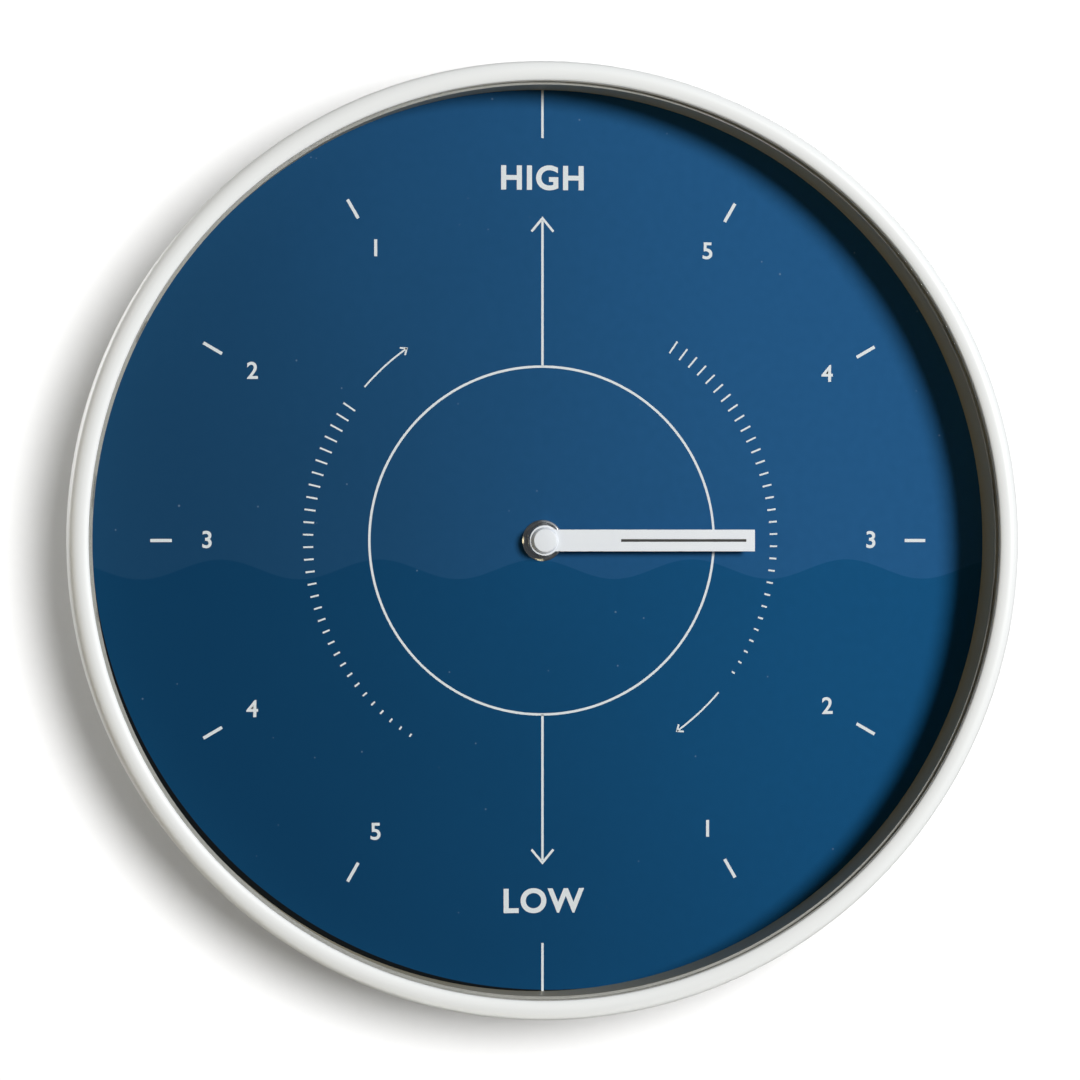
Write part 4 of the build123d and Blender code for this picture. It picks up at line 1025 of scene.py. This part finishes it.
# Circuit
# A small glass-fibre board with a blob of black resin over the chip and a quartz crystal in a metal can.
# Two strips of plated spring steel bring the cell's current to it.
board_green = moulded("board_green", paint(28, 84, 52), paint(38, 100, 62), 0.35, 0.4 * MM, 0.1 * MM)
dress(board_green, "circuit_board")
black_resin = moulded("black_resin", paint(18, 18, 19), paint(28, 28, 29), 0.25, 0.8 * MM, 0.2 * MM)
dress(black_resin, "driver_chip")
dull_tin = paint(170, 172, 172)
clean_tin = paint(206, 207, 206)
crystal_can = metal("crystal_can", dull_tin, clean_tin, 0.2, 0.3 * MM, 0.1 * MM, (0.1, 1, 1))
dress(crystal_can, "quartz_crystal")
contact_steel = metal("contact_steel", dull_tin, clean_tin, 0.22, 0.4 * MM, 0.08 * MM, (1, 1, 0.1))
dress(contact_steel, "positive_contact", "negative_contact")

# Cell
# A dry cell in a plain printed sleeve, with bare steel ends and a raised positive button.
# It is pressed in between the two contacts and can be drawn out backwards.
cell_low, cell_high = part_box("battery_cell")
cell_radius = (cell_high.z - cell_low.z) / 2
cell_length = cell_high.x - cell_low.x
button = 1.2 * MM
button_radius = 2.7 * MM
button_foot = 3.4 * MM
button_bevel = 0.3 * MM
dish = 0.25 * MM
dish_radius = 4.6 * MM
dish_rim = 4.9 * MM
low_bevel = 0.5 * MM
high_bevel = 0.6 * MM
cell_top = cell_length - button
cell_outline = with_rounds(
    4,
    (0.0, dish, 0.0),
    (dish_radius, dish, 0.1 * MM),
    (dish_rim, 0.0, 0.1 * MM),
    (cell_radius - low_bevel, 0.0, 0.3 * MM),
    (cell_radius, low_bevel, 0.3 * MM),
    (cell_radius, cell_top - high_bevel, 0.3 * MM),
    (cell_radius - high_bevel, cell_top, 0.3 * MM),
    (button_foot, cell_top, 0.2 * MM),
    (button_radius, cell_top + button_bevel, 0.1 * MM),
    (button_radius, cell_length, 0.4 * MM),
    (0.0, cell_length, 0.0),
)
cell = turned("dry_cell", cell_outline, 96)
cell_end = Vector((cell_low.x, (cell_low.y + cell_high.y) / 2, (cell_low.z + cell_high.z) / 2))
cell.transform(Matrix.Translation(cell_end) @ Matrix.Rotation(math.pi / 2, 4, "Z"))
sleeve = Finish("cell_sleeve")
across, depth, up = sleeve.axes(sleeve.place)
sleeve_start = cell_low.x + 1.0 * MM
sleeve_end = cell_high.x - button - 1.2 * MM
band_start = sleeve_end - 11.0 * MM
line = 0.05 * MM
wrapped = sleeve.ramp(across, sleeve_start - line, sleeve_start + line)
wrapped = wrapped * sleeve.ramp(across, sleeve_end + line, sleeve_end - line)
banded = sleeve.ramp(across, band_start - line, band_start + line)
scuffs = sleeve.ramp(sleeve.noise(1.2 * MM, 6), 0.58, 0.7)
film = sleeve.blend(banded, paint(52, 56, 62), paint(186, 188, 190))
film = sleeve.blend(scuffs * 0.35, film, paint(120, 122, 124))
steel = sleeve.blend(sleeve.noise(2 * MM, 4), paint(178, 178, 176), paint(208, 208, 206))
sleeve.surface(
    colour=sleeve.blend(wrapped, steel, film),
    metal=1.0 - wrapped,
    roughness=0.24 + scuffs * 0.15 + wrapped * 0.06,
    normal=sleeve.bumps(sleeve.noise(0.8 * MM, 3), 0.01 * MM),
)
fit(cell, sleeve, "battery_body", "cell_sleeve", "battery_cell")

# Setting knob
# A fluted thumb knob moulded in black plastic, pressed on the setting arbor behind the lid.
# Turning it moves the hand while the clutch slips.
knob_plastic = moulded("knob_plastic", paint(30, 30, 31), paint(42, 42, 43), 0.4, 0.3 * MM, 0.25 * MM)
dress(knob_plastic, "setting_knob")

# Hand
# A bar stamped from thin aluminium and painted white, with a dark line let into it. The paint rounds its
# edges, and a brass bush riveted in its eye holds it on the tube.
hand_low, hand_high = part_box("hand")
hand_tip = hand_high.x
hand_half = 3.45 * MM
eye_radius = hand_high.z
eye_hole = 2.92 * MM
line_start = 24.4 * MM
line_end = 64.6 * MM
line_half = 0.4 * MM
line_depth = 0.2 * MM
neck = math.asin(hand_half / eye_radius)
hand_outline = [(hand_tip, -hand_half), (hand_tip, hand_half)]
for step in range(65):
    turn = neck + (2 * math.pi - 2 * neck) * step / 64
    hand_outline.append((eye_radius * math.cos(turn), eye_radius * math.sin(turn)))
line_floor = -hand_low.y - line_depth
line_loop = bar(line_start, line_end, -line_half, line_half)
hand_pieces = [slab("hand_under", [hand_outline, circle(eye_hole)], -hand_high.y, line_floor, 0.1 * MM)]
face_loops = [hand_outline, circle(eye_hole), line_loop]
hand_pieces.append(slab("hand_face", face_loops, line_floor - 1e-5, -hand_low.y, 0.09 * MM))
hand_white = Finish("hand_white")
across, depth, up = hand_white.axes(hand_white.place)
lined = hand_white.ramp(abs(up), line_half + 0.04 * MM, line_half)
lined = lined * hand_white.ramp(across, line_start - 0.04 * MM, line_start)
lined = lined * hand_white.ramp(across, line_end + 0.04 * MM, line_end)
lined = lined * hand_white.ramp(depth, hand_low.y - 1e-5, hand_low.y + 6e-5)
orange_peel = hand_white.noise(0.6 * MM, 3)
gloss = hand_white.noise(5 * MM, 3)
enamel = hand_white.blend(gloss, paint(244, 246, 254), paint(248, 250, 255))
hand_white.surface(
    colour=hand_white.blend(lined, enamel, paint(48, 46, 44)),
    roughness=0.3 + gloss * 0.1 + lined * 0.3,
    normal=hand_white.bumps(orange_peel, 0.006 * MM),
)
fit(joined("hand_stamping", hand_pieces), hand_white, "hand_body", "white_paint", "hand")
dress(turned_brass, "hand_bush")

# Hub cap
# A small turned cap, painted white like the hand.
# Its spigot is pressed into the end of the tube.
cap_low, cap_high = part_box("hub_cap")
cap_seat = -hand_low.y
plug_radius = 0.98 * MM
cap_slope = 0.65 * MM
cap_edge = 0.35 * MM
cap_dome = 0.1 * MM
cap_outline = with_rounds(
    6,
    (0.0, cap_seat, 0.0),
    (cap_high.x - 0.1 * MM, cap_seat, 0.0),
    (cap_high.x, cap_seat + 0.15 * MM, 0.05 * MM),
    (cap_high.x, cap_seat + cap_edge, 0.15 * MM),
    (cap_high.x - cap_slope, -cap_low.y - cap_dome, 0.3 * MM),
    (0.0, -cap_low.y, 0.0),
)
plug_outline = with_rounds(
    3,
    (0.0, -cap_high.y, 0.0),
    (plug_radius, -cap_high.y, 0.2 * MM),
    (plug_radius, cap_seat + 0.05 * MM, 0.0),
    (0.0, cap_seat + 0.05 * MM, 0.0),
)
cap = joined("hub_cap_turning", [turned("cap", cap_outline, 96), turned("plug", plug_outline, 48)])
fit(cap, hand_white, "hand_body", "white_paint", "hub_cap")

# Wall, lamps and camera
# A white wall behind the clock with lamps of its own, one large lamp from the right and a little above,
# weak warm ones from the left and below, strips level with the ring, two lamps behind, dim light all round.
wall_white = Finish("wall_white")
behind = wall_white.node("ShaderNodeNewGeometry", {}, {}, "Backfacing")
roller = wall_white.noise(3 * MM, 3)
tone = wall_white.blend(roller, (0.81, 0.81, 0.81, 1), (0.83, 0.83, 0.83, 1))
matt = wall_white.node("ShaderNodeBsdfDiffuse", {}, {"Color": tone})
clear = wall_white.node("ShaderNodeBsdfTransparent", {}, {})
side = wall_white.node("ShaderNodeMixShader", {}, {0: behind, 1: matt, 2: clear})
wall_white.node("ShaderNodeOutputMaterial", {}, {"Surface": side})

wall_half = 0.28
wall_mesh = bpy.data.meshes.new("wall")
wall_corners = [(across, 0, up) for across, up in bar(-wall_half, wall_half, -wall_half, wall_half)]
wall_mesh.from_pydata(wall_corners, [], [(0, 1, 2, 3)])
wall_mesh.materials.append(wall_white.material)
wall = bpy.data.objects.new("wall", wall_mesh)
bpy.context.scene.collection.objects.link(wall)
wall.visible_shadow = False
wall.visible_diffuse = False
wall.visible_glossy = False


def softbox(name, place, aim, width, length, power, lit_only=None, unlit=None, colour=(1, 1, 1)):
    """An oval lamp that faces a point and lights one thing only, or all but one."""
    lamp = bpy.data.lights.new(name, "AREA")
    lamp.shape = "ELLIPSE"
    lamp.size = width
    lamp.size_y = length
    lamp.energy = power
    lamp.color = colour
    thing = bpy.data.objects.new(name, lamp)
    bpy.context.scene.collection.objects.link(thing)
    back = (Vector(place) - Vector(aim)).normalized()
    side = (Vector((0, 1, 0)) - back * back.y).normalized()
    facing = Matrix((side, back.cross(side), back)).transposed().to_4x4()
    thing.matrix_world = Matrix.Translation(place) @ facing
    group = bpy.data.collections.new(name + "_reach")
    group.objects.link(lit_only or unlit)
    thing.light_linking.receiver_collection = group
    if unlit:
        group.collection_objects[0].light_linking.link_state = "EXCLUDE"


dial_middle = (0.0, -dial_height, 0.0)
ring_level = -0.4 * case_depth
softbox("key_lamp", (1.6, -2.42, 0.55), dial_middle, 0.92, 0.92, 79.0, unlit=wall)
warm = (1.0, 0.83, 0.5)
for name, across, up, power in (("warm_left_lamp", -1.8, 0.0, 3.0), ("warm_low_lamp", 0.0, -1.8, 2.0)):
    softbox(name, (across, -0.75, up), dial_middle, 0.6, 0.6, power, unlit=wall, colour=warm)
strips = (("left_lamp", -1.0, 0.0, 1.2), ("low_lamp", 0.0, -1.0, 2.4), ("top_lamp", -0.2, 1.0, 1.4))
for name, across, up, power in strips:
    softbox(name, (across, ring_level, up), (0, ring_level, 0), 0.07, 0.8, power, unlit=wall)
softbox("rear_left_lamp", (-1.15, 1.15, 0.5), (0, 0, 0), 0.9, 0.9, 15.0, unlit=wall)
softbox("rear_right_lamp", (0.6, 1.4, 0.6), (0, 0, 0), 0.9, 0.9, 10.5, unlit=wall)
softbox("wall_lamp", (0.43, -2.0, 0.25), (0, 0, 0), 0.85, 1.1, 51.0, lit_only=wall)
softbox("wall_fill", (-0.1, -2.0, 0.1), (0, 0, 0), 2.4, 2.4, 10.0, lit_only=wall)

world = bpy.data.worlds.new("room")
world.use_nodes = True
bpy.context.scene.world = world
room = Recipe(world.node_tree)
room.tree.nodes.clear()
light = room.node("ShaderNodeLightPath", {}, {})
ways = {output.name: Reading(room, output) for output in light.socket.node.outputs}
seen = ways["Is Camera Ray"].maths("MAXIMUM", ways["Is Camera Ray"], ways["Is Transmission Ray"])
sky = room.axes(room.node("ShaderNodeTexCoord", {}, {}, "Generated"))
lamp_side = sky[0] * 0.85 - sky[1] * 0.3 + sky[2] * 0.4
bright = room.node("ShaderNodeMapRange", {}, {"Value": lamp_side, "From Min": 0.48, "From Max": 0.95})
strength = 0.05 + seen * 0.95 + ways["Is Glossy Ray"] * (0.03 + bright * 0.6)
shown = seen.maths("MAXIMUM", seen, ways["Is Glossy Ray"])
warm_room = (1.0, 0.92, 0.74, 1)
tint = room.node("ShaderNodeMix", {"data_type": "RGBA"}, {0: shown, 6: warm_room, 7: (1, 1, 1, 1)}, 2)
air = room.node("ShaderNodeBackground", {}, {"Color": tint, "Strength": strength})
room.node("ShaderNodeOutputWorld", {}, {"Surface": air})

view_turn = math.radians(8.0)
view_distance = 1.4
view_width = 0.337
camera_data = bpy.data.cameras.new("camera")
camera_data.sensor_width = 36.0
camera_data.lens = 36.0 * view_distance / view_width
camera = bpy.data.objects.new("camera", camera_data)
bpy.context.scene.collection.objects.link(camera)
aim = Vector((-0.0036, -case_depth, 0.00016))
camera.location = aim + view_distance * Vector((-math.sin(view_turn), -math.cos(view_turn), 0.0))
camera.rotation_euler = (aim - camera.location).to_track_quat("-Z", "Y").to_euler()
bpy.context.scene.camera = camera
bpy.context.scene.view_settings.view_transform = "Standard"
